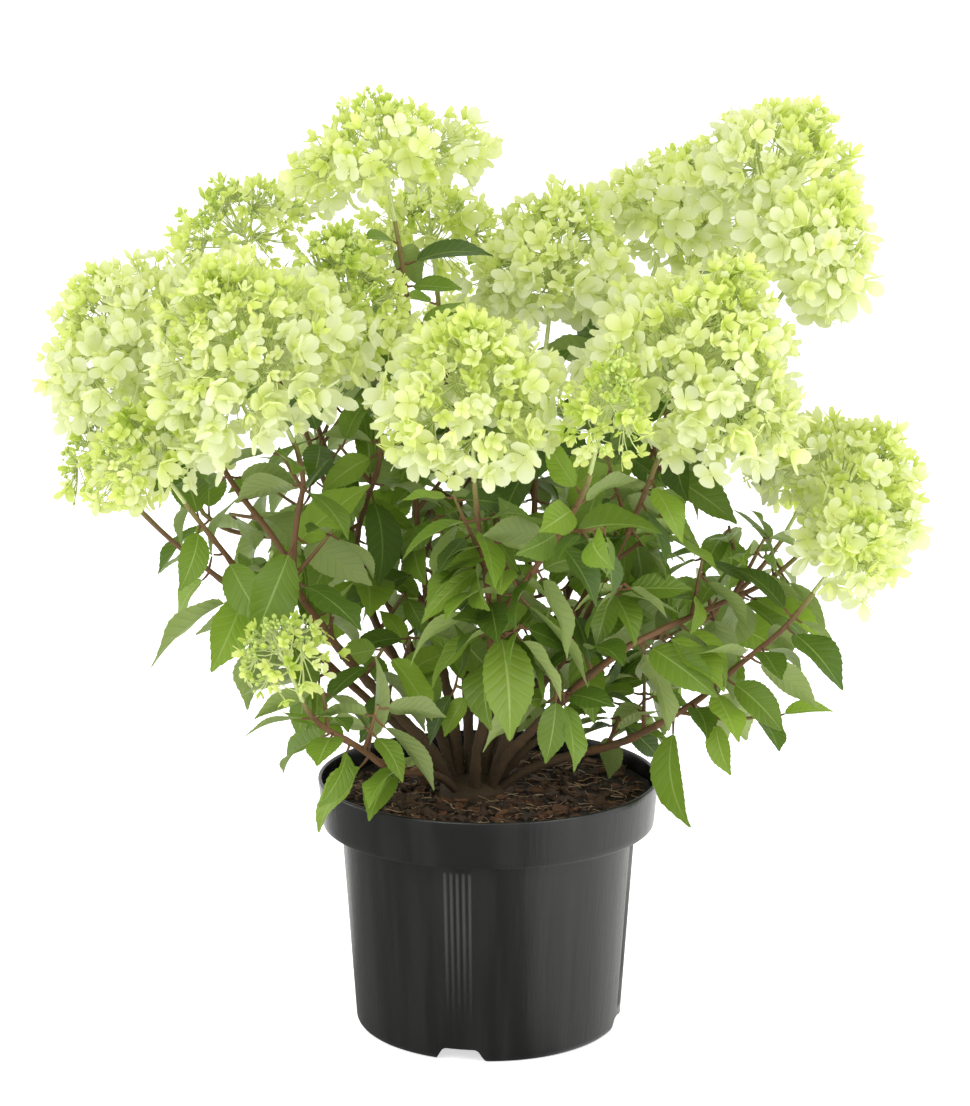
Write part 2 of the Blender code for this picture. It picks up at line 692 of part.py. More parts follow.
def leaf_fits(frame, size, mass, lands, others):
    if not lands.holds(mass, frame @ Vector((size * OWN_SHARE, 0.0, 0.0))):
        return False
    if not others.is_clear(leaf_solid(frame, size, SAFE)):
        return False
    return mass.room.is_clear(leaf_solid(frame, size, SAFE, FREE_FOOT))


def grow_leaves(mass, name, path, first, pitch, scale, lands, others):
    """Leaf pairs along a path, skipped where they would leave the room or touch something."""
    nodes = nodes_along(path, first, pitch, random.Random(f"{name} nodes"))
    for node, (share, root, way, turn) in enumerate(nodes):
        for side in (0, 1):
            rng = random.Random(f"{name} leaf {node} {side}")
            size = rng.uniform(*LEAF_LENGTH) * scale * (1.0 - (1.0 - TOP_LEAF) * share ** 2)
            for _ in range(TRIES if len(mass.leaves) < MOST_LEAVES else 0):
                foot = root + way * PAIR_STEP * side
                frame = leaf_frame(foot, way, turn + math.pi * side, size, rng)
                if leaf_fits(frame, size, mass, lands, others):
                    mass.leaves.append((frame, size))
                    mass.room.add(leaf_solid(frame, size))
                    break


def grow(masses, solids):
    """Twigs and leaves of every mass, in turn, clear of the solids and of each other."""
    lands = Territories(masses)
    for mass in masses:
        others = Room(solids, *[other.room for other in masses if other is not mass])
        grow_twigs(mass, lands, others)
        for number, path in enumerate(mass.paths):
            grow_leaves(mass, f"{mass.name} {number}", path, LEAF_FIRST, NODE_PITCH, 1.0, lands, others)
        for number, (points, _) in enumerate(mass.twigs):
            length = path_length(points)
            grow_leaves(mass, f"{mass.name} twig {number}", points, length * TWIG_LEAF_FIRST,
                        length * TWIG_LEAF_PITCH, TWIG_LEAF_SCALE, lands, others)


def outer_shell(bm):
    """Keep the largest body of a joined solid: scraps and the walls of sealed hollows go."""
    groups = []
    waiting = set(bm.faces)
    while waiting:
        stack = [waiting.pop()]
        group = []
        while stack:
            face = stack.pop()
            group.append(face)
            for edge in face.edges:
                for other in edge.link_faces:
                    if other in waiting:
                        waiting.remove(other)
                        stack.append(other)
        groups.append(group)
    groups.sort(key=len, reverse=True)
    for group in groups[1:]:
        bmesh.ops.delete(bm, geom=group, context="FACES")


def is_closed(bm):
    return all(len(edge.link_faces) == 2 for edge in bm.edges)


def joined(name, base, pieces, parts):
    """One Boolean union of a base solid with a collection of pieces, tidied and applied.

    Where two pieces happen to meet in one edge the result is open there, so the pieces are then
    moved apart by a hair and joined again.
    """
    union = base.modifiers.new("Join", "BOOLEAN")
    union.operation = "UNION"
    union.operand_type = "COLLECTION"
    union.collection = pieces
    rng = random.Random(f"{name} nudges")
    for attempt in range(NUDGES):
        for thing in pieces.objects:
            thing.location = Vector([rng.uniform(-NUDGE, NUDGE) * attempt for _ in range(3)])
        bm = baked(base, JOIN_WELD)
        outer_shell(bm)
        bmesh.ops.triangulate(bm, faces=bm.faces)
        if is_closed(bm) and bm.calc_volume(signed=True) > 0.0:
            break
        if attempt < NUDGES - 1:
            bm.free()
    for thing in list(pieces.objects):
        bpy.data.objects.remove(thing, do_unlink=True)
    bpy.data.collections.remove(pieces)
    bpy.data.objects.remove(base, do_unlink=True)
    return object_from(name, bm, parts)


def make_mass(mass, section, parts):
    """Join a mass's shoots, twigs and leaves into one solid."""
    pieces = new_collection(f"foliage_{mass.name}_pieces")
    base = sweep("base", mass.paths[0], mass.radii[0], section, parts)
    for path, radii in zip(mass.paths[1:], mass.radii[1:]):
        sweep("shoot", path, radii, section, pieces)
    for points, radii in mass.twigs:
        sweep("twig", points, radii, section, pieces)
    for frame, size in mass.leaves:
        object_from("leaf", leaf_solid(frame, size), pieces)
    foliage = joined(f"foliage_{mass.name}", base, pieces, parts)
    finish(foliage, "leaf")
    print(foliage.name, len(mass.leaves), "leaves", len(foliage.data.polygons), "faces")


# ---- panicles ----------------------------------------------------------------------------------

def dome_point(head, up, turn, share):
    """Point of the head's rounded cone at a share of its size; up runs from -1 to 1."""
    round_ = abs(math.sin(math.pi * ((1.0 - up) / 2) ** DOME_SLANT)) ** DOME_ROUND
    wide = round_ * head.width / 2 * share
    return Vector((wide * math.cos(turn), wide * math.sin(turn), up * head.height / 2 * share))


def floret_count(head):
    area = math.pi * head.width * head.height
    return max(FEWEST_FLORETS, int(area / FLORET_PITCH ** 2 * FLORET_COVER))


def make_core(head, frame, group):
    bm = bmesh.new()
    bmesh.ops.create_icosphere(bm, subdivisions=1, radius=1.0)
    for vertex in bm.verts:
        up = max(-1.0, min(1.0, vertex.co.z))
        vertex.co = dome_point(head, up, math.atan2(vertex.co.y, vertex.co.x), CORE)
    bm.transform(frame)
    return object_from("core", bm, group)


def make_florets(head, frame, rng, group):
    """Four-sided cups whose points are sunk in the core, spread by the golden angle."""
    count = floret_count(head)
    for number in range(count):
        up = FLORET_TOP - FLORET_RUN * (number + 0.5) / count
        turn = number * GOLDEN_TURN + rng.uniform(-FLORET_SPREAD, FLORET_SPREAD)
        face = dome_point(head, up, turn, rng.uniform(*FLORET_DEPTH))
        out = Vector((face.x / head.width ** 2, face.y / head.width ** 2, face.z / head.height ** 2))
        out = out.normalized() + Vector([rng.uniform(-1, 1) for _ in range(3)]) * FLORET_TILT
        out.normalize()
        radius = FLORET_RADIUS * rng.uniform(1.0 - FLORET_SPREAD, 1.0 + FLORET_SPREAD)
        depth = face.length * FLORET_REACH
        bm = bmesh.new()
        bmesh.ops.create_cone(bm, cap_ends=True, segments=4, radius1=FLORET_FOOT, radius2=radius,
                              depth=depth)
        bmesh.ops.translate(bm, vec=(0.0, 0.0, -depth / 2), verts=bm.verts)
        place = Matrix.Translation(face) @ turned_to(out) @ Matrix.Rotation(rng.uniform(0, 3), 4, "Z")
        bm.transform(frame @ place)
        object_from("floret", bm, group)


def make_panicle(name, section, parts):
    """A head on its stalk, whose foot meets the tip of the shoot."""
    rng = random.Random(f"head {name}")
    head = HEADS[name]
    axis = head_axis(head)
    centre = Vector(head.place)
    frame = Matrix.Translation(centre) @ turned_to(axis)
    pieces = new_collection(f"panicle_{name}_pieces")
    foot = head_foot(head) + axis * CLEAR
    ends = [foot, foot.lerp(centre, 0.5), centre]
    base = sweep("stalk", ends, taper(SHOOT_TIP_RADIUS, STALK_TIP_RADIUS, len(ends)), section, parts)
    make_core(head, frame, pieces)
    make_florets(head, frame, rng, pieces)
    panicle = joined(f"panicle_{name}", base, pieces, parts)
    finish(panicle, "bloom")
    print(panicle.name, floret_count(head), "florets", len(panicle.data.polygons), "faces")
    return panicle


# ---- the plant ---------------------------------------------------------------------------------

def main():
    clear_scene()
    parts = new_collection(NAME)
    cutters = new_collection("cutters")
    limb_section = profile_curve(LIMB_SIDES, cutters)
    shoot_section = profile_curve(SHOOT_SIDES, cutters)
    placed = [make_pot(parts, cutters), make_soil(parts)]
    stool_cutter = stool_solid("stool_cutter", cutters, CLEAR)
    stool_cutter.hide_render = True
    stool_cutter.display_type = "WIRE"
    stool = stool_solid("stool", parts)
    finish(stool, "bark")
    placed.append(stool)
    placed += [make_bough(bough, stool_cutter, limb_section, parts) for bough in BOUGHS]
    placed += [make_panicle(name, shoot_section, parts) for name in HEADS]
    solids = Room()
    for thing in placed:
        solids.add(baked(thing))
    masses = [Mass(bough) for bough in BOUGHS]
    grow(masses, solids)
    for mass in masses:
        make_mass(mass, shoot_section, parts)


main()
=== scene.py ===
import math
import random
from collections import namedtuple

import bpy
import numpy as np
from mathutils import Matrix, Quaternion, Vector, noise
from mathutils.bvhtree import BVHTree
from mathutils.kdtree import KDTree


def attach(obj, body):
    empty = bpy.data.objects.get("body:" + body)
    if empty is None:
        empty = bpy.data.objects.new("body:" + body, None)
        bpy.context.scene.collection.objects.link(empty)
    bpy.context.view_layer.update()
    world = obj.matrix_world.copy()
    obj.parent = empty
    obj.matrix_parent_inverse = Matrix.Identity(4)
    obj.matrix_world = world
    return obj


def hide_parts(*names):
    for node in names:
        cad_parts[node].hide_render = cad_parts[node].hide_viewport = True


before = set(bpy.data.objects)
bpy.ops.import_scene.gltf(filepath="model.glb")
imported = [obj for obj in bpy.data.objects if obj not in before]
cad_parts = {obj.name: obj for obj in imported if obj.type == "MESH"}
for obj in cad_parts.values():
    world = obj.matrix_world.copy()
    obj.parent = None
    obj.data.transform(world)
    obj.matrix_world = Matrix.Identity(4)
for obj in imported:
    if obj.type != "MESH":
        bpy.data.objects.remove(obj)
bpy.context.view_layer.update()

# A panicle hydrangea in a black nursery pot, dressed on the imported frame. Metres, +Z up, front -Y.
BODY = "root"
UP = Vector((0.0, 0.0, 1.0))
SKEW = Vector((0.3, 0.9, 0.31)) # a way that no limb follows
GOLDEN_TURN = math.pi * (3.0 - math.sqrt(5.0))

# Pot
POT_HEIGHT = 0.195
RIM_RADIUS = 0.130
COLLAR_FOOT = 0.159             # height of the collar's lower edge
COLLAR_FOOT_RADIUS = 0.1266
BODY_TOP_RADIUS = 0.1124
BASE_RADIUS = 0.1020
BASE_CORNER = 0.0065
WALL = 0.0018
LIP = 0.0030
CENTRE_RADIUS = 0.018           # disc in the middle of the pot's floor
PAD_RADIUS = 0.058              # the part that stands on the ground, and the slope round it
PAD_SLOPE = 0.004
SKIRT_HEIGHT = 0.0122
SKIRT_RADIUS = 0.0905
EDGE = 0.0006                   # softens the pot's corners
POT_SIDES = 300
SMOOTH_ANGLE = 38               # degrees; edges sharper than this stay crisp
NOTCH_TURN = -102               # degrees; the others follow by quarter turns
NOTCH_WIDTH = 0.039
NOTCH_REACH = 0.030
NOTCH_TAPER = 0.33              # the notch is this share narrower at its top
NOTCH_TOP = 0.0106
NOTCH_CORNER = 0.003
FLUTE_DEPTH = 0.0011
FLUTE_FOOT = 0.020
FLUTE_TOP = 0.150
FLUTE_PLACES = (-3, -1, 1, 3)   # in steps of the pot's sides from the middle of a notch

# Potting mix
SOIL_EDGE = 0.1805
SOIL_TOP = 0.1812
SOIL_FLAT_RADIUS = 0.054
SOIL_BUMP = 0.0022              # broad unevenness towards the rim
SOIL_RISE = 0.0035              # how much higher it lies on the right
SOIL_LUMP = 0.0016              # fine unevenness all over
SOIL_RINGS = (0.99, 0.96, 0.92, 0.87, 0.81, 0.75, 0.68, 0.61, 0.54, 0.47, 0.4, 0.3, 0.2)
SOIL_SIDES = 120
Chips = namedtuple("Chips", "count sizes lift reach tumble")
CHIPS = (Chips(520, (0.005, 0.015), (-0.0006, 0.0022), 0.112, 1.0),
         Chips(1300, (0.0018, 0.0050), (-0.0002, 0.0018), 0.119, 2.0))
CHIP_FORM = (1.0, 0.42, 0.22)   # length, width and thickness
CHIP_SEEDS = (1, 2, 3, 4)
FIBRE_COUNT = 250
FIBRE_STEPS = 5
FIBRE_REACH = 0.114
FIBRE_LENGTH = (0.008, 0.024)
FIBRE_RADIUS = (0.00028, 0.00055)

# Stool
STOOL_X = -0.012
STOOL_HEIGHT = 0.036
STOOL_RADIUS = 0.024
STOOL_FLARE = 0.031
STOOL_LUMP = 0.07
STOOL_SIDES = 48
STOOL_FLAT = 0.30               # the stool is pressed down to this share of its height
FOOT_OUT = 0.010                # the boughs start this far from the stool's axis,
ROOT_SPREAD = 0.004             # and their lowest stretch is bent this far outwards
ROOT_DEPTH = 0.004              # and this deep into the mix,
ROOT_REACH = 0.045              # over this length

# Limbs
BOUGH_RINGS = 5
SHOOT_RINGS = 5
BOUGH_TIP_RADIUS = 0.0031
SHOOT_TIP_RADIUS = 0.0022
CLEAR = 0.0003                  # gap below the stool, and between a bough's tip and its shoot
STRAIGHT = 0.006                # straight stretch before a tip
FORK_RADIUS = 0.0028
FORK_AT = 0.16                  # share of the first shoot after which the second leaves it
KINK = 0.0016                   # how far a limb's points are shaken
PULL = 0.24                     # straightness: share of the way that keeps each end's direction
BARK_SIDES = 12
BARK_STEP = 0.0032
BARK_NODES = (0.031, 0.20, 0.0030)      # spacing, swell and width of the nodes on a bough
SHOOT_SIDES = 8
SHOOT_STEP = 0.006
NODE_PITCH = 0.037
SHOOT_NODES = (NODE_PITCH, 0.25, 0.0028)
TWIG_SIDES = 6
BARK_BROWN = (0.150, 0.072, 0.030)
BARK_GREY = (0.105, 0.070, 0.038)
# colour the bark takes near the soil
BARK_NEAR_SOIL = (0.030, 0.019, 0.011)
DARK_BARK_HEIGHT = 0.055             # the bark is darker up to this height above the soil
STEM_RED = (0.165, 0.086, 0.042)
STEM_GREEN = (0.340, 0.400, 0.120)

# Twigs
NODE_MARGIN = 0.012             # bare length below a limb's end
TRIES = 9
TWIG_CHANCE = 0.9
TWIG_LENGTH = (0.055, 0.090)
TWIG_RADII = (0.0023, 0.0017)
TWIG_SPREAD = 0.9
TWIG_FIRST = 0.020              # from the foot of a shoot
TWIG_LAST = 0.72                # share of the shoot above which it has no twigs
TWIG_LEAF_PITCH = 0.38
TWIG_STEPS = 24                 # places tried while the last leaf of a twig is sought
TWIG_LEAST = 0.2                # a twig whose last leaf lies nearer its foot than this is dropped
TWIG_END = 0.999                # share of a twig's length that counts as its end
LOW_TWIGS = 2                   # short twigs on each woody bough
LOW_TWIG_SPAN = (0.50, 0.95)    # where they start, as a share of the bough's length
LOW_TWIG_LENGTH = (0.020, 0.045)
LOW_LEAF = 0.012                # no leaf tip on a low twig hangs lower than this above the rim

# Leaves
LEAF_LENGTH = (0.060, 0.094)
LEAF_SLIM = 0.47
LEAF_LIFT = (0.30, 0.80)
LEAF_DROOP = (0.35, 1.90)
LEAF_ROLL = 0.45
LEAF_NEAR = 0.0025              # a leaf this near a twig grows on it
LEAF_HELD = 0.2                 # share of a leaf that may cross the limbs of its own mass
PAIR_STEP = 0.0014              # between the two leaves of a pair
TOP_LEAF = 0.72                 # size of the last leaves on a shoot against the first
SHOOT_SAMPLE = 0.012            # spacing of the points that claim room for a mass
SAFE = 0.0011                   # kept free round every leaf and twig
SKIRT_REACH = 0.140             # leaf tips farther out than this lie above a cone that widens upwards
SKIRT_START = 0.180             # height where that cone starts
SKIRT_SLOPE = 0.66
HANG_REACH = {"front_left": 1.0, "right_low": 0.172}   # the same limit where leaves hang over the rim
OWN_SHARE = 0.36                # this far along, a leaf still lies in its own mass
MOST_LEAVES = 66                # in one mass
FEWER = {"left": 21, "left_low": 16, "centre_left": 44, "back_left": 26, "far_right": 48,
         "right_low": 40, "top_right": 44, "front_left": 18}
# Rounds of leaves: where they start and their size, first on shoots, then on twigs as a share of length.
Round = namedtuple("Round", "word first scale twig_first twig_scale")
MAIN_LEAVES = Round("", 0.014, 1.0, 0.50, 0.86)
MORE_LEAVES = Round("more ", MAIN_LEAVES.first + NODE_PITCH / 2, 0.82, 0.3, 0.66)
PETIOLE = 0.16                  # share of a leaf's length
PETIOLE_RADII = (0.0013, 0.0010, 0.0008)
PETIOLE_SAG = 0.0006
LEAF_ROWS = (0.0, 0.06, 0.14, 0.22, 0.30, 0.38, 0.46, 0.54, 0.62, 0.70, 0.78, 0.88, 1.0)
LEAF_COLUMNS = (-1.0, -0.5, 0.0, 0.5, 1.0)
TOOTH = 0.013                   # how far a tooth stands out, as a share of the leaf's length
OVAL = 1.48                     # makes the blade LEAF_SLIM wide where it is widest
TIP_START = 0.66
TIP_PINCH = 0.55
BLADE_ROLL = 0.55
RIM_ROOM = 0.004                # a blade lies this much above the rim and outside it
RIM_FALL = 2.2                  # slope of a blade that hangs over the rim
LeafKind = namedtuple("LeafKind", "name upper under rib share")
LEAF_KINDS = (
    LeafKind("leaf_green", (0.118, 0.194, 0.017), (0.290, 0.360, 0.120), (0.300, 0.390, 0.110), 0.45),
    LeafKind("leaf_deep_green", (0.046, 0.090, 0.007), (0.240, 0.300, 0.100), (0.215, 0.290, 0.075), 0.33),
    LeafKind("leaf_fresh_green", (0.180, 0.278, 0.026), (0.325, 0.405, 0.135), (0.350, 0.440, 0.125), 0.22),
)

# Heads
HEAD_LEAN = 2.3                 # radians of lean for each metre from the axis
LEAN_LIMIT = 0.62
STALK = 0.016                   # bare stalk below a head
DOME_SLANT = 1.42
DOME_ROUND = 0.58
BRANCH_PITCH = 0.036            # spacing of side branches, small florets and large ones
LOBE_BROAD = 0.26
LOBE_FINE = 0.20
SMALL_PITCH = 0.0112
LARGE_PITCH = 0.0188
# Rows of a sepal: share of its length and half width. Small florets have fewer rows.
SEPAL_ROWS = {"wide": ((0.05, 0.05), (0.28, 0.26), (0.55, 0.43), (0.80, 0.39), (0.97, 0.17)),
              "small": ((0.05, 0.08), (0.50, 0.42), (0.96, 0.22))}
# Forms of a floret: how its sepals cup, how the lower pair is turned, and how steeply they rise.
FLORETS = {"wide": ((0.22, 0.10, 0.10), (0.40, -0.12, 0.22), (0.50, 0.0, 0.50), (-0.10, 0.2, 0.05)),
           "small": ((0.30, 0.10, 0.20), (0.50, -0.15, 0.60), (0.35, 0.0, 1.10))}
# Tints of the florets: colour at the sepals' edge and at their heart.
TINTS = {
    "cream": ((0.862, 0.884, 0.638), (0.805, 0.850, 0.430)),
    "pale_lime": ((0.855, 0.890, 0.500), (0.785, 0.845, 0.310)),
    "lime": ((0.785, 0.850, 0.315), (0.670, 0.765, 0.175)),
    "green": ((0.600, 0.710, 0.160), (0.420, 0.560, 0.080)),
}
TINT_LIMITS = (0.26, 0.56, 0.88)        # youth from which a floret takes the next tint

# Studio
CAMERA_PLACE = (-0.0026, -2.3, 0.852)
CAMERA_DIP = 11.9               # degrees below level
CAMERA_LENS = 101.7
FLOOR_SIZE = 70.0
MIDDLE = (0.0, 0.0, 0.42)
POT_SIDE = (0.0, 0.0, 0.25)
Light = namedtuple("Light", "name place target size power")
LIGHTS = (
    Light("key", (-1.3, -2.0, 2.2), MIDDLE, (1.6, 1.6), 28.5),
    Light("fill", (1.9, -1.7, 1.3), MIDDLE, (1.2, 1.6), 25.0),
    Light("left_strip", (-1.9, 0.30, 0.7), POT_SIDE, (0.5, 1.6), 7.0),
    Light("right_strip", (1.9, 0.30, 0.7), POT_SIDE, (0.5, 1.6), 7.0),
    Light("top", (0.0, 0.5, 2.6), MIDDLE, (1.6, 1.6), 9.0),
)

Bough = namedtuple("Bough", "name tip radius start rise heads")
Head = namedtuple("Head", "place width height ripe")

BOUGHS = (
    Bough("left", (-0.136, -0.060, 0.345), 0.0050, 0.198, 0.9, ("left", "far_left")),
    Bough("left_low", (-0.128, 0.018, 0.282), 0.0040, 0.194, 0.6, ("left_low", "far_left_low")),
    Bough("front_left", (-0.078, -0.088, 0.228), 0.0034, 0.194, 0.3, ("front_left_small",)),
    Bough("centre_left", (-0.100, 0.062, 0.335), 0.0045, 0.198, 1.0,
          ("centre_left", "back_left_high")),
    Bough("top_left", (-0.048, 0.046, 0.330), 0.0048, 0.206, 2.2, ("top_left",)),
    Bough("front", (0.000, -0.070, 0.300), 0.0045, 0.197, 1.2, ("front", "front_right_small")),
    Bough("centre", (0.030, 0.044, 0.345), 0.0048, 0.207, 2.6, ("centre_back",)),
    Bough("right", (0.060, -0.034, 0.300), 0.0046, 0.205, 1.6, ("right",)),
    Bough("top_right", (0.085, 0.022, 0.350), 0.0050, 0.200, 1.1, ("top_right", "right_edge")),
    Bough("far_right", (0.098, -0.082, 0.312), 0.0045, 0.196, 0.8, ("far_right",)),
    Bough("right_low", (0.126, -0.036, 0.243), 0.0040, 0.193, 0.35, ("far_right_low",)),
    Bough("back_left", (-0.090, 0.122, 0.318), 0.0045, 0.192, 0.65, ("back_left", "back_left_low")),
    Bough("back", (-0.020, 0.112, 0.335), 0.0046, 0.199, 1.2, ("back_centre", "back")),
    Bough("back_right", (0.070, 0.110, 0.330), 0.0046, 0.198, 1.0, ("back_right", "right_back")),
    Bough("back_right_low", (0.106, 0.056, 0.256), 0.0038, 0.194, 0.5, ("back_right_low",)),
)

# Centre, width, height and ripeness: 0 is green bud, 1 is full cream bloom.
HEADS = {
    "top_left": Head((-0.080, 0.050, 0.665), 0.140, 0.076, 0.62),
    "back_left_high": Head((-0.196, 0.155, 0.599), 0.118, 0.066, 0.22),
    "back_centre": Head((-0.046, 0.195, 0.592), 0.110, 0.074, 0.45),
    "far_left": Head((-0.271, 0.010, 0.532), 0.138, 0.100, 1.0),
    "left": Head((-0.172, -0.105, 0.541), 0.136, 0.134, 0.85),
    "centre_left": Head((-0.102, -0.012, 0.555), 0.080, 0.146, 0.35),
    "front": Head((-0.012, -0.180, 0.520), 0.114, 0.122, 0.8),
    "centre_back": Head((0.052, 0.085, 0.577), 0.118, 0.108, 0.8),
    "right_back": Head((0.149, 0.165, 0.612), 0.106, 0.104, 0.8),
    "top_right": Head((0.220, 0.050, 0.646), 0.130, 0.106, 0.9),
    "right_edge": Head((0.234, -0.054, 0.604), 0.080, 0.094, 0.95),
    "right": Head((0.150, -0.120, 0.534), 0.144, 0.138, 0.9),
    "front_right_small": Head((0.080, -0.205, 0.510), 0.054, 0.080, 0.25),
    "far_right": Head((0.272, 0.000, 0.421), 0.128, 0.098, 0.85),
    "far_right_low": Head((0.262, -0.094, 0.394), 0.068, 0.062, 0.80),
    "far_left_low": Head((-0.299, 0.075, 0.430), 0.070, 0.060, 0.15),
    "left_low": Head((-0.248, -0.070, 0.459), 0.092, 0.068, 0.5),
    "front_left_small": Head((-0.148, -0.135, 0.323), 0.068, 0.056, 0.12),
    "back_left": Head((-0.180, 0.262, 0.500), 0.126, 0.104, 0.85),
    "back_left_low": Head((-0.258, 0.165, 0.420), 0.096, 0.082, 0.5),
    "back": Head((-0.020, 0.280, 0.478), 0.118, 0.100, 0.9),
    "back_right": Head((0.146, 0.255, 0.492), 0.122, 0.106, 0.8),
    "back_right_low": Head((0.266, 0.160, 0.400), 0.102, 0.084, 0.6),
}


# ---- meshes and objects ------------------------------------------

Shape = namedtuple("Shape", "points faces uvs")         # faces and UVs come in blocks, by corners


def switch_mode(name):
    bpy.ops.object.mode_set(mode=name)


def deselect_all():
    if bpy.context.object and bpy.context.object.mode != "OBJECT":
        switch_mode("OBJECT")
    bpy.ops.object.select_all(action="DESELECT")


def select_only(thing):
    deselect_all()
    thing.select_set(True)
    bpy.context.view_layer.objects.active = thing


def new_model(add, **settings):
    """The object that one of the add commands makes."""
    deselect_all()
    add(**settings)
    return bpy.context.object


def scale_model(thing, scale):
    thing.scale = scale
    bpy.ops.object.transform_apply(location=False, rotation=False, scale=True)


def carried(thing, slot, *nodes):
    """The piece rides on the plant and stands for the nodes. The slot is not used."""
    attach(thing, BODY)
    if nodes:
        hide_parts(*nodes)
    return thing


def finished(thing, finish, slot, node):
    """A modelled piece takes its one finish and stands for its node."""
    thing.data.materials.clear()
    thing.data.materials.append(finish)
    return carried(thing, slot, node)


class Pile:
    """Points and faces of many small things, which become one joined mesh."""

    def __init__(self):
        self.points = []
        self.faces = []
        self.uvs = []
        self.tones = []
        self.finishes = []
        self.count = 0

    def join(self, points, tones, shape, starts, finish):
        """Adds points and, from each start among them, a copy of the shape's faces."""
        self.points.append(points)
        self.tones.append(tones)
        self.count += len(points)
        for faces, uvs in zip(shape.faces, shape.uvs):
            self.faces.append((np.asarray(faces)[None] + starts[:, None, None]).reshape(-1, len(faces[0])))
            self.uvs.append(np.tile(np.asarray(uvs, float).reshape(-1, 2), (len(starts), 1)))
            self.finishes.append(np.full(len(starts) * len(faces), finish))

    def add(self, shape, tone, finish=0):
        """One shape where it stands. Its tone is one number, or one for each point."""
        points = np.asarray(shape.points, float)
        tones = np.broadcast_to(np.asarray(tone, float), len(points))
        self.join(points, tones, shape, np.array([self.count]), finish)

    def scatter(self, shape, turns, sizes, places, tones, finish=0):
        """Turned and sized copies of a shape."""
        base = np.asarray(shape.points, float)
        moved = np.einsum("nij,vj->nvi", np.asarray(turns) * np.asarray(sizes)[:, None, None], base)
        moved += np.asarray(places)[:, None, :]
        starts = self.count + np.arange(len(places)) * len(base)
        self.join(moved.reshape(-1, 3), np.repeat(np.asarray(tones, float), len(base)), shape, starts, finish)

    def build(self, name, finishes, slot, *nodes):
        faces = [face for block in self.faces for face in block.tolist()]
        mesh = bpy.data.meshes.new(name)
        mesh.from_pydata(np.concatenate(self.points).tolist(), [], faces)
        mesh.uv_layers.new(name="surface")
        mesh.uv_layers["surface"].data.foreach_set("uv", np.concatenate(self.uvs).ravel())
        tone = mesh.attributes.new("tone", "FLOAT", "POINT")
        tone.data.foreach_set("value", np.concatenate(self.tones))
        for finish in finishes:
            mesh.materials.append(finish)
        mesh.polygons.foreach_set("material_index", np.concatenate(self.finishes))
        mesh.polygons.foreach_set("use_smooth", np.ones(len(faces), bool))
        mesh.update()
        thing = bpy.data.objects.new(name, mesh)
        bpy.context.scene.collection.objects.link(thing)
        return carried(thing, slot, *nodes)


def shape_from(thing):
    """The points and faces of a finished model, which is then put away."""
    points = [tuple(vertex.co) for vertex in thing.data.vertices]
    by_corners = {}
    for face in thing.data.polygons:
        by_corners.setdefault(len(face.vertices), []).append(tuple(face.vertices))
    faces = list(by_corners.values())
    bpy.data.objects.remove(thing, do_unlink=True)
    return Shape(points, faces, [[[(0.5, 0.5)] * len(face) for face in block] for block in faces])


def ringed(points, sides, heights, wide=1.0):
    """Rings of points joined to a tube, with UVs that run round it and up its heights."""
    faces = []
    uvs = []
    for ring, (low, high) in enumerate(zip(heights, heights[1:])):
        for step in range(sides):
            first, second = ring * sides + step, ring * sides + (step + 1) % sides
            faces.append((first, second, second + sides, first + sides))
            left, right = step / sides * wide, (step + 1) / sides * wide
            uvs.append(((left, low), (right, low), (right, high), (left, high)))
    return Shape(points, [faces], [uvs])


def square_to(way):
    return way.cross(SKEW).normalized()


def tube(path, radii, sides):
    """Rings round a path, their frame carried along it."""
    path = [Vector(point) for point in path]
    ways = [(path[min(i + 1, len(path) - 1)] - path[max(i - 1, 0)]).normalized() for i in range(len(path))]
    side = square_to(ways[0])
    points = []
    lengths = [0.0]
    for index, (point, way, radius) in enumerate(zip(path, ways, radii)):
        if index:
            side = (ways[index - 1].rotation_difference(way) @ side).normalized()
            lengths.append(lengths[-1] + (point - path[index - 1]).length)
        across = way.cross(side)
        for step in range(sides):
            turn = step * math.tau / sides
            points.append(point + (side * math.cos(turn) + across * math.sin(turn)) * radius)
    return ringed(points, sides, lengths)


# ---- the growth rule ---------------------------------------------

def smooth_path(start, start_way, end, end_way, count):
    """Points of a curve that leaves its start and meets its end along the given ways."""
    start, end = Vector(start), Vector(end)
    pull = (end - start).length * PULL
    first = start + Vector(start_way).normalized() * pull
    second = end - Vector(end_way).normalized() * pull
    points = []
    for index in range(count):
        t = index / (count - 1)
        s = 1.0 - t
        points.append(start * s ** 3 + first * 3 * s * s * t + second * 3 * s * t * t + end * t ** 3)
    return points


def kinked(points, rng):
    """The path with its inner points shaken a little."""
    moved = [points[0].copy()]
    for point in points[1:-1]:
        moved.append(point + Vector([rng.uniform(-KINK, KINK) for _ in range(3)]))
    return moved + [points[-1].copy()]


def taper(first, last, count):
    return [first + (last - first) * index / (count - 1) for index in range(count)]


def bough_path(bough):
    """From the stool to the bough's tip, turned there towards its heads."""
    rng = random.Random(f"bough {bough.name}")
    tip = Vector(bough.tip)
    foot = Vector((STOOL_X, 0.0, bough.start))
    flat = (tip - foot).to_2d().normalized()
    foot += Vector((flat.x, flat.y, 0.0)) * FOOT_OUT
    start_way = Vector((flat.x, flat.y, bough.rise))
    goal = sum((head_foot(HEADS[name]) for name in bough.heads), Vector()) / len(bough.heads)
    end_way = ((tip - foot).normalized() + (goal - tip).normalized()).normalized()
    points = kinked(smooth_path(foot, start_way, tip - end_way * STRAIGHT, end_way, BOUGH_RINGS), rng)
    return points + [tip]


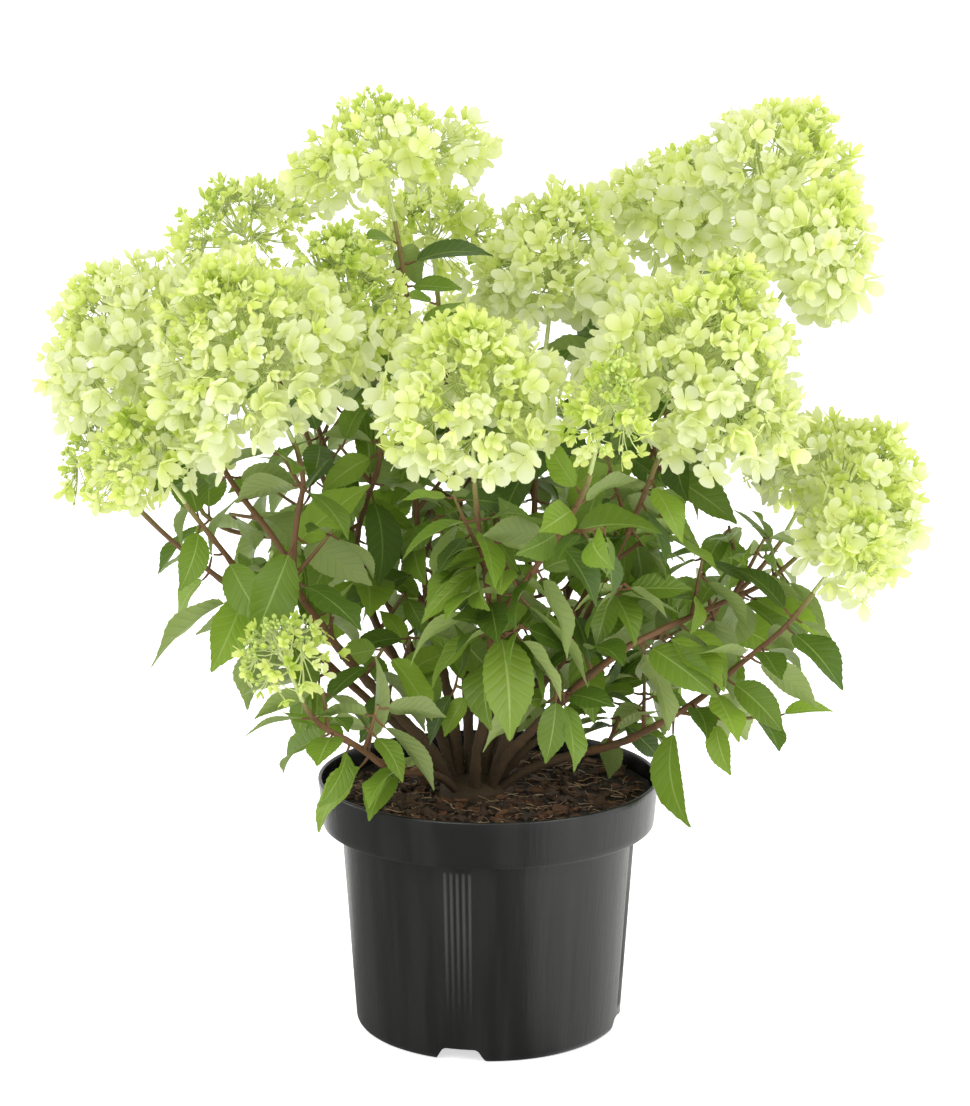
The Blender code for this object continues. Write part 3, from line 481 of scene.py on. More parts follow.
def head_axis(head):
    """The way a head points: the farther out it stands, the more it leans."""
    away = Vector(head.place).to_2d()
    lean = min(LEAN_LIMIT, HEAD_LEAN * away.length)
    flat = away.normalized() * math.sin(lean)
    return Vector((flat.x, flat.y, math.cos(lean)))


def head_foot(head):
    return Vector(head.place) - head_axis(head) * (head.height / 2 + STALK)


def shoot_paths(bough):
    """A flowering shoot to each head: the first goes on from the bough, the second forks from it."""
    rng = random.Random(f"shoots of {bough.name}")
    last, tip = bough_path(bough)[-2:]
    way = (tip - last).normalized()
    start = tip + way * CLEAR
    paths = []
    for name in bough.heads:
        head = HEADS[name]
        axis = head_axis(head)
        end = head_foot(head)
        if paths:
            lead = []
            origin = paths[0][1].lerp(paths[0][2], FORK_AT * (SHOOT_RINGS - 1))
            origin_way = (end - origin).normalized() + way * 0.5
        else:
            lead = [start]
            origin, origin_way = start + way * STRAIGHT, way
        curve = smooth_path(origin, origin_way, end - axis * STRAIGHT, axis, SHOOT_RINGS)
        paths.append(lead + kinked(curve, rng) + [end])
    return paths


def point_along(path, distance):
    """The point this far along the path, and the way the path runs there."""
    for first, second in zip(path, path[1:]):
        length = (second - first).length
        if distance <= length:
            return first.lerp(second, distance / length), (second - first).normalized()
        distance -= length
    return path[-1], (path[-1] - path[-2]).normalized()


def path_length(path):
    return sum((second - first).length for first, second in zip(path, path[1:]))


def turned_to(axis):
    return UP.rotation_difference(axis).to_matrix().to_4x4()


def side_of(way, turn):
    return Quaternion(way, turn) @ square_to(way)


def nodes_along(path, first, pitch, rng):
    """Nodes of a limb: share of its length, place, way, and the turn of the pair that grows there."""
    length = path_length(path)
    distance = first
    turn = rng.uniform(0.0, math.tau)
    while distance < length - NODE_MARGIN:
        root, way = point_along(path, distance)
        yield distance / length, root, way, turn
        distance += pitch * rng.uniform(0.85, 1.15)
        turn += math.pi / 2 + rng.uniform(-0.3, 0.3)


def leaf_frame(root, way, turn, size, rng):
    """A leaf's own axes: along it, across it and up from its face. Large leaves droop more."""
    lift = rng.uniform(*LEAF_LIFT)
    droop = rng.uniform(*LEAF_DROOP) * (0.35 + 0.65 * size / LEAF_LENGTH[1])
    out = side_of(way, turn)
    along = (out + way * lift).normalized() - UP * droop * (1.0 - 0.35 * abs(out.z))
    along.normalize()
    across = UP.cross(along)
    if across.length < 0.2:
        across = out.cross(along)
    across = Quaternion(along, rng.uniform(-LEAF_ROLL, LEAF_ROLL)) @ across.normalized()
    made = Matrix((along, across, along.cross(across))).transposed().to_4x4()
    made.translation = root
    return made


def leaf_trial(place, size, foot):
    """Two thin triangles that stand for a leaf while room is sought for it."""
    half = size * LEAF_SLIM / 2 + SAFE
    lift = size * 0.05
    corners = ((foot, 0, 0), (size * 0.42, half, lift), (size * 0.42, -half, lift), (size + SAFE, 0, 0))
    return [place @ Vector(corner) for corner in corners], [(0, 1, 2), (1, 3, 2)]


def limb_trial(points, radii):
    shape = tube(points, radii, 3)
    return shape.points, shape.faces[0]


class Room:
    """Faces that leaves and twigs keep clear of."""

    def __init__(self, *rooms):
        self.points = []
        self.faces = []
        self.tree = None
        for room in rooms:
            self.add((room.points, room.faces))

    def add(self, made):
        points, faces = made
        start = len(self.points)
        self.points += points
        self.faces += [[start + corner for corner in face] for face in faces]
        self.tree = None

    def is_clear(self, made):
        if self.tree is None:
            self.tree = BVHTree.FromPolygons(self.points, self.faces)
        return not BVHTree.FromPolygons(*made).overlap(self.tree)


class Mass:
    """One mass of foliage: its flowering shoots, side twigs and leaves."""

    def __init__(self, bough):
        self.name = bough.name
        self.bough = bough
        self.paths = shoot_paths(bough)
        self.radii = [taper(FORK_RADIUS if number else BOUGH_TIP_RADIUS, SHOOT_TIP_RADIUS, len(path))
                      for number, path in enumerate(self.paths)]
        self.twigs = []
        self.leaves = []
        self.room = Room()
        for path, radii in zip(self.paths, self.radii):
            self.room.add(limb_trial(path, radii))

    def hangs_low(self, tip):
        """Whether a leaf's tip hangs below the cone that the crown's underside follows."""
        away = tip.to_2d().length
        under = tip.z < SKIRT_START + SKIRT_SLOPE * (away - SKIRT_REACH)
        return under and away > HANG_REACH.get(self.name, SKIRT_REACH)

    def takes_leaf(self, place, size, others):
        """Keeps the leaf if it hangs clear of everything."""
        trial = leaf_trial(place, size, size * LEAF_HELD)
        clear = (not self.hangs_low(place @ Vector((size, 0.0, 0.0)))
                 and others.is_clear(leaf_trial(place, size, 0.0)) and self.room.is_clear(trial))
        if clear:
            self.leaves.append((place, size))
            self.room.add(trial)
        return clear

    def grow_twigs(self, lands, others):
        """Side twigs at the nodes of the shoots, each turned until it finds room."""
        for number, path in enumerate(self.paths):
            nodes = nodes_along(path, TWIG_FIRST, NODE_PITCH, random.Random(f"{self.name} twigs {number}"))
            for node, (share, root, way, turn) in enumerate(nodes):
                rng = random.Random(f"{self.name} twig {number} {node}")
                tries = TRIES if share < TWIG_LAST and rng.random() < TWIG_CHANCE else 0
                for _ in range(tries):
                    length = rng.uniform(*TWIG_LENGTH)
                    out = side_of(way, turn + rng.uniform(-0.8, 0.8)) * TWIG_SPREAD
                    out = (out + way * 0.5 + UP * 0.15).normalized()
                    end = root + (out + UP * 0.35).normalized() * length
                    points = smooth_path(root, out, end, UP * 0.8 + out, 3)
                    radii = taper(*TWIG_RADII, len(points))
                    trial = limb_trial(points, [radius + SAFE for radius in radii])
                    if lands.holds(self, end) and others.is_clear(trial):
                        self.twigs.append((points, radii))
                        self.room.add(limb_trial(points, radii))
                        break

    def grow_leaves(self, name, path, first, pitch, scale, lands, others):
        """Leaves in pairs at the nodes of a path, each turned until it finds room."""
        nodes = nodes_along(path, first, pitch, random.Random(f"{name} nodes"))
        for node, (share, root, way, turn) in enumerate(nodes):
            for side in (0, 1):
                rng = random.Random(f"{name} leaf {node} {side}")
                size = rng.uniform(*LEAF_LENGTH) * scale * (1.0 - (1.0 - TOP_LEAF) * share ** 2)
                full = len(self.leaves) >= FEWER.get(self.name, MOST_LEAVES)
                for _ in range(0 if full else TRIES):
                    foot = root + way * PAIR_STEP * side
                    place = leaf_frame(foot, way, turn + math.pi * side, size, rng)
                    own = lands.holds(self, place @ Vector((size * OWN_SHARE, 0.0, 0.0)))
                    if own and self.takes_leaf(place, size, others):
                        break

    def grow_round(self, made, lands, others):
        """One round of leaves on the shoots and then on the twigs."""
        for number, path in enumerate(self.paths):
            self.grow_leaves(f"{self.name} {made.word}{number}", path, made.first, NODE_PITCH, made.scale,
                             lands, others)
        for number, (points, _) in enumerate(self.twigs):
            length = path_length(points)
            self.grow_leaves(f"{self.name} {made.word}twig {number}", points, length * made.twig_first,
                             length * TWIG_LEAF_PITCH, made.twig_scale, lands, others)

    def grow_low_twigs(self, others):
        """Short leafy twigs on the upper part of the woody bough, below the mass."""
        rng = random.Random(f"{self.name} low twigs")
        path = bough_path(self.bough)
        low, high = LOW_TWIG_SPAN
        for number in range(LOW_TWIGS):
            share = low + (high - low) * (number + rng.random()) / LOW_TWIGS
            points = low_twig(*point_along(path, path_length(path) * share), others, rng)
            if not points:
                continue
            self.twigs.append((points, taper(*TWIG_RADII, len(points))))
            for node in (0.55, 1.0):
                foot, along = point_along(points, path_length(points) * node * TWIG_END)
                turn = rng.uniform(0.0, math.tau)
                for side in (0, 1):
                    size = rng.uniform(*LEAF_LENGTH) * rng.uniform(0.6, 0.85)
                    for _ in range(TRIES):
                        place = leaf_frame(foot, along, turn + math.pi * side, size, rng)
                        tip = place @ Vector((size, 0.0, 0.0))
                        if not near_rim(tip) and self.takes_leaf(place, size, others):
                            break

    def trim_twigs(self):
        """Cuts each twig back to its last leaf and drops the twigs without any."""
        feet = [place.translation for place, _ in self.leaves]
        kept = []
        for points, radii in self.twigs:
            length = path_length(points)
            last = 0.0
            for step in range(1, TWIG_STEPS + 1):
                share = min(TWIG_END, step / TWIG_STEPS)
                place = point_along(points, length * share)[0]
                if any((foot - place).length < LEAF_NEAR for foot in feet):
                    last = share
            if last > TWIG_LEAST:
                cut = [point_along(points, length * last * part)[0] for part in (0.0, 0.5, TWIG_END)]
                kept.append((cut, radii))
        self.twigs = kept


def near_rim(tip):
    """Whether a leaf's tip hangs low over the pot."""
    return tip.z < POT_HEIGHT + LOW_LEAF and tip.to_2d().length < RIM_RADIUS + LOW_LEAF


def low_twig(root, way, others, rng):
    """The path of a twig that finds room, or None."""
    for _ in range(TRIES):
        out = (side_of(way, rng.uniform(0.0, math.tau)) + way * 0.3 + UP * 0.2).normalized()
        end = root + out * rng.uniform(*LOW_TWIG_LENGTH)
        points = smooth_path(root, out, end, out + UP * 0.4, 3)
        if others.is_clear(limb_trial(points[1:], [SAFE] * 2)):
            return points
    return None


class Territories:
    """A point belongs to the mass whose shoots lie nearest."""

    def __init__(self, masses):
        self.owner = []
        points = []
        for mass in masses:
            for path in mass.paths:
                steps = max(2, int(path_length(path) / SHOOT_SAMPLE))
                for step in range(steps):
                    points.append(point_along(path, path_length(path) * step / steps)[0])
                    self.owner.append(mass)
        self.tree = KDTree(len(points))
        for number, point in enumerate(points):
            self.tree.insert(point, number)
        self.tree.balance()

    def holds(self, mass, point):
        return self.owner[self.tree.find(point)[1]] is mass


def cad_room(names):
    """Faces of CAD nodes, which stay hidden but keep their room."""
    room = Room()
    for name in names:
        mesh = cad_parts[name].data
        room.add(([vertex.co.copy() for vertex in mesh.vertices],
                  [tuple(face.vertices) for face in mesh.polygons]))
    return room


def with_others(masses, solids):
    """Each mass in turn, with the room that all else takes by then."""
    for mass in masses:
        yield mass, Room(solids, *[other.room for other in masses if other is not mass])


def grown_masses():
    """Twigs and leaves of every mass, clear of the solids and of each other."""
    masses = [Mass(bough) for bough in BOUGHS]
    solids = cad_room(["pot", "soil", "stool"] + [f"bough_{bough.name}" for bough in BOUGHS]
                      + [f"panicle_{name}" for name in HEADS])
    lands = Territories(masses)
    for mass, others in with_others(masses, solids):
        mass.grow_twigs(lands, others)
        mass.grow_round(MAIN_LEAVES, lands, others)
    for mass, others in with_others(masses, solids):
        mass.grow_low_twigs(others)
    for mass, others in with_others(masses, solids):
        mass.grow_round(MORE_LEAVES, lands, others)
        mass.trim_twigs()
    return masses


# ---- finishes ----------------------------------------------------

class Wiring:
    """Short words for adding and joining shader nodes in one tree."""

    def __init__(self, tree):
        self.tree = tree

    def node(self, kind, fed=(), **settings):
        made = self.tree.nodes.new(kind)
        for key, value in settings.items():
            setattr(made, key, value)
        self.feed(made, dict(fed))
        return made

    def feed(self, node, fed):
        """Joins a node's inputs, given by name or number, to sockets, or sets them to values."""
        for key, value in fed.items():
            socket = node.inputs[key]
            if isinstance(value, bpy.types.NodeSocket):
                self.tree.links.new(value, socket)
            else:
                socket.default_value = (*value, 1.0) if socket.type == "RGBA" else value

    def place(self):
        return self.node("ShaderNodeTexCoord").outputs["Object"]

    def surface(self):
        return self.node("ShaderNodeUVMap", uv_map="surface").outputs["UV"]

    def tone(self):
        return self.node("ShaderNodeAttribute", attribute_name="tone").outputs["Fac"]

    def parts(self, vector):
        return self.node("ShaderNodeSeparateXYZ", {0: vector}).outputs

    def stretched(self, vector, scale):
        return self.node("ShaderNodeMapping", {"Vector": vector, "Scale": scale}).outputs["Vector"]

    def maths(self, operation, *values):
        return self.node("ShaderNodeMath", enumerate(values), operation=operation).outputs[0]

    def times(self, first, second):
        return self.maths("MULTIPLY", first, second)

    def between(self, value, low, high, to_low=0.0, to_high=1.0):
        """Eases a value from one range into another."""
        fed = {"Value": value, "From Min": low, "From Max": high, "To Min": to_low, "To Max": to_high}
        return self.node("ShaderNodeMapRange", fed, interpolation_type="SMOOTHSTEP").outputs["Result"]

    def blend(self, share, first, second):
        fed = {"Factor": share, 6: first, 7: second}
        return self.node("ShaderNodeMix", fed, data_type="RGBA").outputs[2]

    def noise(self, vector, scale, detail, roughness=0.55):
        fed = {"Vector": vector, "Scale": scale, "Detail": detail, "Roughness": roughness}
        return self.node("ShaderNodeTexNoise", fed).outputs["Fac"]

    def bump(self, height, strength, distance):
        fed = {"Height": height, "Strength": strength, "Distance": distance}
        return self.node("ShaderNodeBump", fed).outputs["Normal"]


def new_finish(name):
    made = bpy.data.materials.new(name)
    made.use_nodes = True
    return made, Wiring(made.node_tree), made.node_tree.nodes["Principled BSDF"]


def toned(colour, share):
    """The colour made darker or lighter."""
    return tuple(min(1.0, channel * share) for channel in colour)


def lit_through(made, wires, shader, glow, share):
    """A thin blade lets light through: the finish is mixed with a translucent one."""
    through = wires.node("ShaderNodeBsdfTranslucent", {"Color": glow})
    mix = wires.node("ShaderNodeMixShader", {"Fac": share, 1: shader.outputs[0], 2: through.outputs[0]})
    wires.feed(made.node_tree.nodes["Material Output"], {"Surface": mix.outputs[0]})


def leaf_veins(wires):
    """Midrib, arching side veins and the swelling between them, from the blade's own UVs."""
    parts = wires.parts(wires.surface())
    across = wires.maths("ABSOLUTE", wires.maths("MULTIPLY_ADD", parts["X"], 2.0, -1.0))
    midrib = wires.between(across, 0.02, 0.07, 1.0, 0.0)
    sweep = wires.times(wires.maths("POWER", across, 0.8), 0.20)
    step = wires.times(wires.maths("SUBTRACT", parts["Y"], sweep), 9.0)
    away = wires.maths("ABSOLUTE", wires.maths("SUBTRACT", wires.maths("FRACT", step), 0.5))
    veins = wires.times(wires.between(away, 0.40, 0.48), wires.between(across, 0.75, 1.0, 1.0, 0.2))
    swell = wires.times(wires.between(away, 0.20, 0.50, 1.0, 0.0), wires.between(across, 0.0, 0.15))
    return midrib, veins, swell


def leaf_finish(kind):
    """Satin green above, pale beneath, with light ribs."""
    made, wires, shader = new_finish(kind.name)
    midrib, veins, swell = leaf_veins(wires)
    patch = wires.noise(wires.place(), 55.0, 2.0)
    top = wires.blend(wires.maths("MULTIPLY_ADD", patch, 0.5, 0.5), toned(kind.upper, 0.62), kind.upper)
    top = wires.blend(wires.times(wires.tone(), 0.45), top, toned(kind.upper, 1.7))
    top = wires.blend(wires.times(veins, 0.16), top, kind.rib)
    top = wires.blend(wires.times(midrib, 0.75), top, kind.rib)
    low = wires.blend(wires.times(veins, 0.6), kind.under, toned(kind.under, 0.8))
    low = wires.blend(wires.times(midrib, 0.7), low, kind.rib)
    colour = wires.blend(wires.node("ShaderNodeNewGeometry").outputs["Backfacing"], top, low)
    wires.feed(shader, {"Base Color": colour, "Roughness": wires.between(patch, 0.3, 0.7, 0.38, 0.52),
                        "Normal": wires.bump(swell, 0.45, 0.0006), "Specular IOR Level": 0.4})
    lit_through(made, wires, shader, wires.blend(0.35, colour, (0.35, 0.62, 0.05)), 0.22)
    return made


def sepal_finish(name, edge, heart):
    """Petal-like sepals: greener at the heart, paler at the rim, lit through."""
    made, wires, shader = new_finish(name)
    parts = wires.parts(wires.surface())
    colour = wires.blend(wires.between(parts["Y"], 0.1, 0.8), heart, edge)
    vein = wires.maths("ABSOLUTE", wires.maths("SINE", wires.times(parts["X"], 22.0)))
    wires.feed(shader, {"Base Color": colour, "Roughness": 0.55, "Normal": wires.bump(vein, 0.25, 0.0004),
                        "Specular IOR Level": 0.25})
    lit_through(made, wires, shader, wires.blend(0.22, colour, (0.680, 0.840, 0.140)), 0.50)
    return made


def plain_green(name, colour, roughness):
    made, wires, shader = new_finish(name)
    patch = wires.noise(wires.place(), 300.0, 2.0)
    wires.feed(shader, {"Base Color": wires.blend(patch, toned(colour, 0.8), toned(colour, 1.2)),
                        "Roughness": roughness})
    return made


def bark_finish():
    """Woody bark: grey skin over red brown, dark lengthwise streaks, darker near the soil."""
    made, wires, shader = new_finish("stool_bark")
    place = wires.place()
    streak = wires.noise(wires.stretched(wires.surface(), (5.0, 60.0, 1.0)), 6.0, 4.0, 0.65)
    patch = wires.times(wires.noise(place, 90.0, 3.0), 0.7)
    share = wires.between(wires.maths("ADD", patch, wires.times(wires.tone(), 0.5)), 0.42, 0.72)
    colour = wires.blend(share, BARK_BROWN, BARK_GREY)
    colour = wires.blend(wires.between(streak, 0.45, 0.75, 0.0, 0.55), colour, toned(BARK_BROWN, 0.35))
    # the bark is made darker near the soil
    near_soil = wires.between(wires.parts(place)["Z"], SOIL_TOP, SOIL_TOP + DARK_BARK_HEIGHT, 0.6, 0.0)
    wires.feed(shader, {"Base Color": wires.blend(near_soil, colour, BARK_NEAR_SOIL),
                        "Roughness": wires.between(streak, 0.3, 0.7, 0.55, 0.85),
                        "Normal": wires.bump(streak, 0.6, 0.0010), "Specular IOR Level": 0.2})
    return made


def stem_finish():
    """Young stems: red brown below, green near the head, by the piece's own tone."""
    made, wires, shader = new_finish("young_stem")
    speck = wires.noise(wires.place(), 420.0, 2.0)
    colour = wires.blend(wires.between(wires.tone(), 0.40, 1.0, 0.0, 0.60), STEM_RED, STEM_GREEN)
    colour = wires.blend(wires.between(speck, 0.55, 0.75, 0.0, 0.5), colour, toned(STEM_RED, 0.45))
    wires.feed(shader, {"Base Color": colour, "Roughness": 0.55, "Normal": wires.bump(speck, 0.3, 0.0004),
                        "Specular IOR Level": 0.2})
    return made


def painted_flute_highlight(wires, place):
    """Painted highlight on the ridges between the grooves: brightest high up, fading downwards."""
    parts = wires.parts(place)
    turn = wires.maths("ARCTAN2", parts["Y"], parts["X"])
    turn = wires.maths("ADD", turn, math.tau + math.pi / 4 - math.radians(NOTCH_TURN))
    turn = wires.maths("SUBTRACT", wires.maths("MODULO", turn, math.pi / 2), math.pi / 4)
    ridge = wires.between(wires.maths("COSINE", wires.times(turn, POT_SIDES / 2)), -0.9, 1.1)
    near = wires.between(wires.maths("ABSOLUTE", turn), math.radians(6.0), math.radians(5.2))
    foot = wires.between(parts["Z"], FLUTE_FOOT, FLUTE_TOP * 0.85)
    head = wires.between(parts["Z"], FLUTE_TOP + 0.002, FLUTE_TOP - 0.002)
    return wires.times(wires.times(ridge, near), wires.times(foot, head))


def pot_finish():
    """Satin black moulded plastic with faint upright streaks, dust and painted highlights on the flute
    ridges.
    """
    made, wires, shader = new_finish("satin_black_plastic")
    place = wires.place()
    upright = wires.stretched(place, (1.0, 1.0, 0.03))
    streak = wires.noise(upright, 420.0, 3.0)
    wide = wires.noise(upright, 60.0, 2.0)
    fine = wires.noise(place, 2600.0, 2.0)
    dust = wires.between(wires.noise(place, 38.0, 5.0, 0.7), 0.62, 0.95)
    colour = wires.blend(wires.between(wide, 0.38, 0.66), (0.0058, 0.0057, 0.0055), (0.0118, 0.0115, 0.0110))
    colour = wires.blend(wires.times(dust, 0.35), colour, (0.026, 0.025, 0.023))
    # painted highlight: the ridges of the flutes are made lighter
    colour = wires.blend(painted_flute_highlight(wires, place), colour, (0.048, 0.047, 0.045))
    rough = wires.maths("ADD", wires.between(wide, 0.3, 0.7, 0.15, 0.27), wires.times(dust, 0.12))
    height = wires.maths("ADD", wires.times(streak, 0.7), wires.times(fine, 0.3))
    wires.feed(shader, {"Base Color": colour, "Roughness": rough, "Normal": wires.bump(height, 0.42, 0.0007),
                        "Specular IOR Level": 0.42})
    return made


def peat_finish():
    made, wires, shader = new_finish("damp_peat")
    place = wires.place()
    coarse = wires.noise(place, 160.0, 6.0, 0.7)
    fine = wires.noise(place, 900.0, 4.0, 0.7)
    colour = wires.blend(wires.between(coarse, 0.35, 0.65), (0.005, 0.003, 0.0015), (0.026, 0.014, 0.007))
    colour = wires.blend(wires.between(fine, 0.58, 0.72, 0.0, 0.6), colour, (0.080, 0.045, 0.026))
    height = wires.maths("ADD", coarse, wires.times(fine, 0.6))
    wires.feed(shader, {"Base Color": colour, "Roughness": 0.9, "Normal": wires.bump(height, 1.0, 0.003)})
    return made


def crumb_finish(name, dark, light):
    made, wires, shader = new_finish(name)
    grain = wires.noise(wires.place(), 700.0, 4.0, 0.7)
    share = wires.maths("ADD", wires.times(wires.tone(), 0.7), wires.times(grain, 0.3))
    wires.feed(shader, {"Base Color": wires.blend(share, dark, light), "Roughness": 0.8,
                        "Normal": wires.bump(grain, 0.7, 0.001)})
    return made


# ---- pot ---------------------------------------------------------

def arc(centre, radius, start, end, steps):
    angles = [math.radians(start + (end - start) * i / steps) for i in range(steps + 1)]
    return [(centre[0] + radius * math.cos(a), centre[1] + radius * math.sin(a)) for a in angles]


def body_radius(height):
    slope = (BODY_TOP_RADIUS - BASE_RADIUS) * (height - BASE_CORNER)
    return BASE_RADIUS + slope / (COLLAR_FOOT - WALL - BASE_CORNER)


def pot_profile():
    """Radius and height from the middle of the underside, up the outside and down the inside."""
    half_lip = LIP / 2
    under = [(CENTRE_RADIUS, 0.0), (PAD_RADIUS, 0.0), (PAD_RADIUS + PAD_SLOPE, SKIRT_HEIGHT),
             (SKIRT_RADIUS, SKIRT_HEIGHT), (SKIRT_RADIUS, WALL), (SKIRT_RADIUS + EDGE, 0.0004),
             (SKIRT_RADIUS + WALL, 0.0)]
    corner = arc((BASE_RADIUS - BASE_CORNER, BASE_CORNER), BASE_CORNER, -84, 0, 6)
    sides = [(body_radius(height), height) for height in (
        FLUTE_FOOT - 0.004, FLUTE_FOOT, 0.05, 0.08, 0.11, FLUTE_TOP - 0.002, FLUTE_TOP,
        COLLAR_FOOT - 2 * WALL)]
    step = [(BODY_TOP_RADIUS + EDGE, COLLAR_FOOT - WALL), (COLLAR_FOOT_RADIUS - 0.003, COLLAR_FOOT - EDGE),
            (COLLAR_FOOT_RADIUS - 0.0008, COLLAR_FOOT - 0.0003), (COLLAR_FOOT_RADIUS, COLLAR_FOOT + EDGE)]
    collar = [(COLLAR_FOOT_RADIUS + EDGE, COLLAR_FOOT + 0.005), (RIM_RADIUS - EDGE, POT_HEIGHT - 0.006)]
    lip = arc((RIM_RADIUS - half_lip, POT_HEIGHT - half_lip), half_lip, 0, 180, 6)
    inside = [(RIM_RADIUS - LIP - EDGE, POT_HEIGHT - 0.006),
              (COLLAR_FOOT_RADIUS - WALL, COLLAR_FOOT + 0.002),
              (BODY_TOP_RADIUS - WALL, COLLAR_FOOT - WALL),
              (BASE_RADIUS - WALL, SKIRT_HEIGHT + WALL + BASE_CORNER),
              (BASE_RADIUS - BASE_CORNER - WALL, SKIRT_HEIGHT + WALL),
              (PAD_RADIUS + PAD_SLOPE - WALL, SKIRT_HEIGHT + WALL), (PAD_RADIUS - WALL, WALL),
              (CENTRE_RADIUS, WALL)]
    return under + corner + sides + step + collar + lip + inside


def turned_piece(name, profile, sides):
    """A turned shell: a circle drawn along a profile ring by ring, its two ends filled."""
    radius, height = profile[0]
    thing = new_model(bpy.ops.mesh.primitive_circle_add, vertices=sides, radius=radius,
                      location=(0, 0, height))
    thing.name = name
    thing.data.name = name
    bpy.ops.object.transform_apply(location=True, rotation=True, scale=True)
    switch_mode("EDIT")
    bpy.ops.mesh.select_all(action="SELECT")
    bpy.ops.mesh.edge_face_add()
    bpy.ops.mesh.poke()
    bpy.ops.mesh.select_all(action="DESELECT")
    switch_mode("OBJECT")
    for edge in thing.data.edges:
        edge.select = all(thing.data.vertices[i].co.to_2d().length > radius * 0.9 for i in edge.vertices)
    switch_mode("EDIT")
    bpy.ops.mesh.select_mode(type="EDGE")
    for next_radius, next_height in profile[1:]:
        bpy.ops.mesh.extrude_edges_move(TRANSFORM_OT_translate={"value": (0, 0, next_height - height)})
        share = next_radius / radius
        bpy.ops.transform.resize(value=(share, share, 1.0), center_override=(0, 0, next_height))
        radius, height = next_radius, next_height
    bpy.ops.mesh.edge_face_add()
    bpy.ops.mesh.poke()
    bpy.ops.mesh.select_all(action="SELECT")
    bpy.ops.mesh.normals_make_consistent(inside=False)
    switch_mode("OBJECT")
    return thing


def press_flutes(pot):
    """Four shallow upright grooves over each drain notch."""
    select_only(pot)
    switch_mode("EDIT")
    bpy.ops.mesh.select_mode(type="VERT")
    bpy.ops.mesh.select_all(action="DESELECT")
    switch_mode("OBJECT")
    for vertex in pot.data.vertices:
        turn = math.degrees(math.atan2(vertex.co.y, vertex.co.x)) - NOTCH_TURN
        place = round(((turn + 45) % 90 - 45) / (360 / POT_SIDES))
        least = BASE_RADIUS - WALL / 2 + (vertex.co.z - BASE_CORNER) * 0.07
        vertex.select = (vertex.co.to_2d().length > least and place in FLUTE_PLACES
                         and FLUTE_FOOT - 0.001 < vertex.co.z < FLUTE_TOP - 0.001)
    switch_mode("EDIT")
    share = 1.0 - FLUTE_DEPTH / BODY_TOP_RADIUS
    bpy.ops.transform.resize(value=(share, share, 1.0), center_override=(0, 0, 0))
    switch_mode("OBJECT")


def cut_notches(pot):
    """Drain notches through the foot ring."""
    reach = (SKIRT_RADIUS + BASE_RADIUS) / 2
    for quarter in range(4):
        turn = math.radians(NOTCH_TURN + 90 * quarter)
        cutter = new_model(bpy.ops.mesh.primitive_cube_add, size=1.0)
        scale_model(cutter, (NOTCH_REACH, NOTCH_WIDTH, 2 * NOTCH_TOP))
        for vertex in cutter.data.vertices:
            vertex.co.y *= 1.0 - math.copysign(NOTCH_TAPER, vertex.co.z)
        for edge in cutter.data.edges:
            first, second = [cutter.data.vertices[i].co for i in edge.vertices]
            edge.select = abs(first.x - second.x) > 0.02 and first.z > 0
        switch_mode("EDIT")
        bpy.ops.mesh.select_mode(type="EDGE")
        bpy.ops.mesh.bevel(offset=NOTCH_CORNER, segments=4)
        switch_mode("OBJECT")
        cutter.location = (reach * math.cos(turn), reach * math.sin(turn), 0.0)
        cutter.rotation_euler.z = turn
        select_only(pot)
        cut = pot.modifiers.new("notch", "BOOLEAN")
        cut.operation = "DIFFERENCE"
        cut.object = cutter
        bpy.ops.object.modifier_apply(modifier=cut.name)
        bpy.data.objects.remove(cutter, do_unlink=True)


def make_pot():
    pot = turned_piece("nursery_pot", pot_profile(), POT_SIDES)
    press_flutes(pot)
    cut_notches(pot)
    select_only(pot)
    bpy.ops.object.shade_smooth_by_angle(angle=math.radians(SMOOTH_ANGLE))
    finished(pot, pot_finish(), "pot_plastic", "pot")



# ---- potting mix -------------------------------------------------

def soil_height(x, y):
    """Height of the mix: flat in the middle, uneven towards the rim and higher on the right."""
    away = math.hypot(x, y)
    share = max(0.0, min(1.0, (away - SOIL_FLAT_RADIUS) / (RIM_RADIUS - SOIL_FLAT_RADIUS)))
    bump = SOIL_BUMP * (math.sin(61 * x + 1.3) * math.cos(53 * y) + 0.5 * math.sin(130 * (x - y)))
    edge = SOIL_TOP + (SOIL_EDGE - SOIL_TOP) * share
    return edge + share * (bump + SOIL_RISE * x / RIM_RADIUS)


def make_potting_mix():
    """A turned cake of mix, its top pushed into lumps."""
    reach = COLLAR_FOOT_RADIUS - WALL - 0.0004
    profile = [(0.03, 0.160), (0.1085, 0.160), (reach, 0.172), (reach, SOIL_TOP)]
    profile += [(reach * share, SOIL_TOP) for share in SOIL_RINGS]
    mix = turned_piece("potting_mix", profile, SOIL_SIDES)
    for vertex in mix.data.vertices:
        if vertex.co.z > SOIL_TOP - 0.001:
            x, y = vertex.co.x, vertex.co.y
            lump = noise.fractal(Vector((x, y, 0.3)) * 70, 0.8, 2.2, 4)
            calm = min(1.0, max(0.15, (math.hypot(x - STOOL_X, y) - STOOL_FLARE) / 0.02))
            vertex.co.z = soil_height(x, y) + SOIL_LUMP * lump * calm
    mix.data.shade_smooth()
    finished(mix, peat_finish(), "potting_mix", "soil")


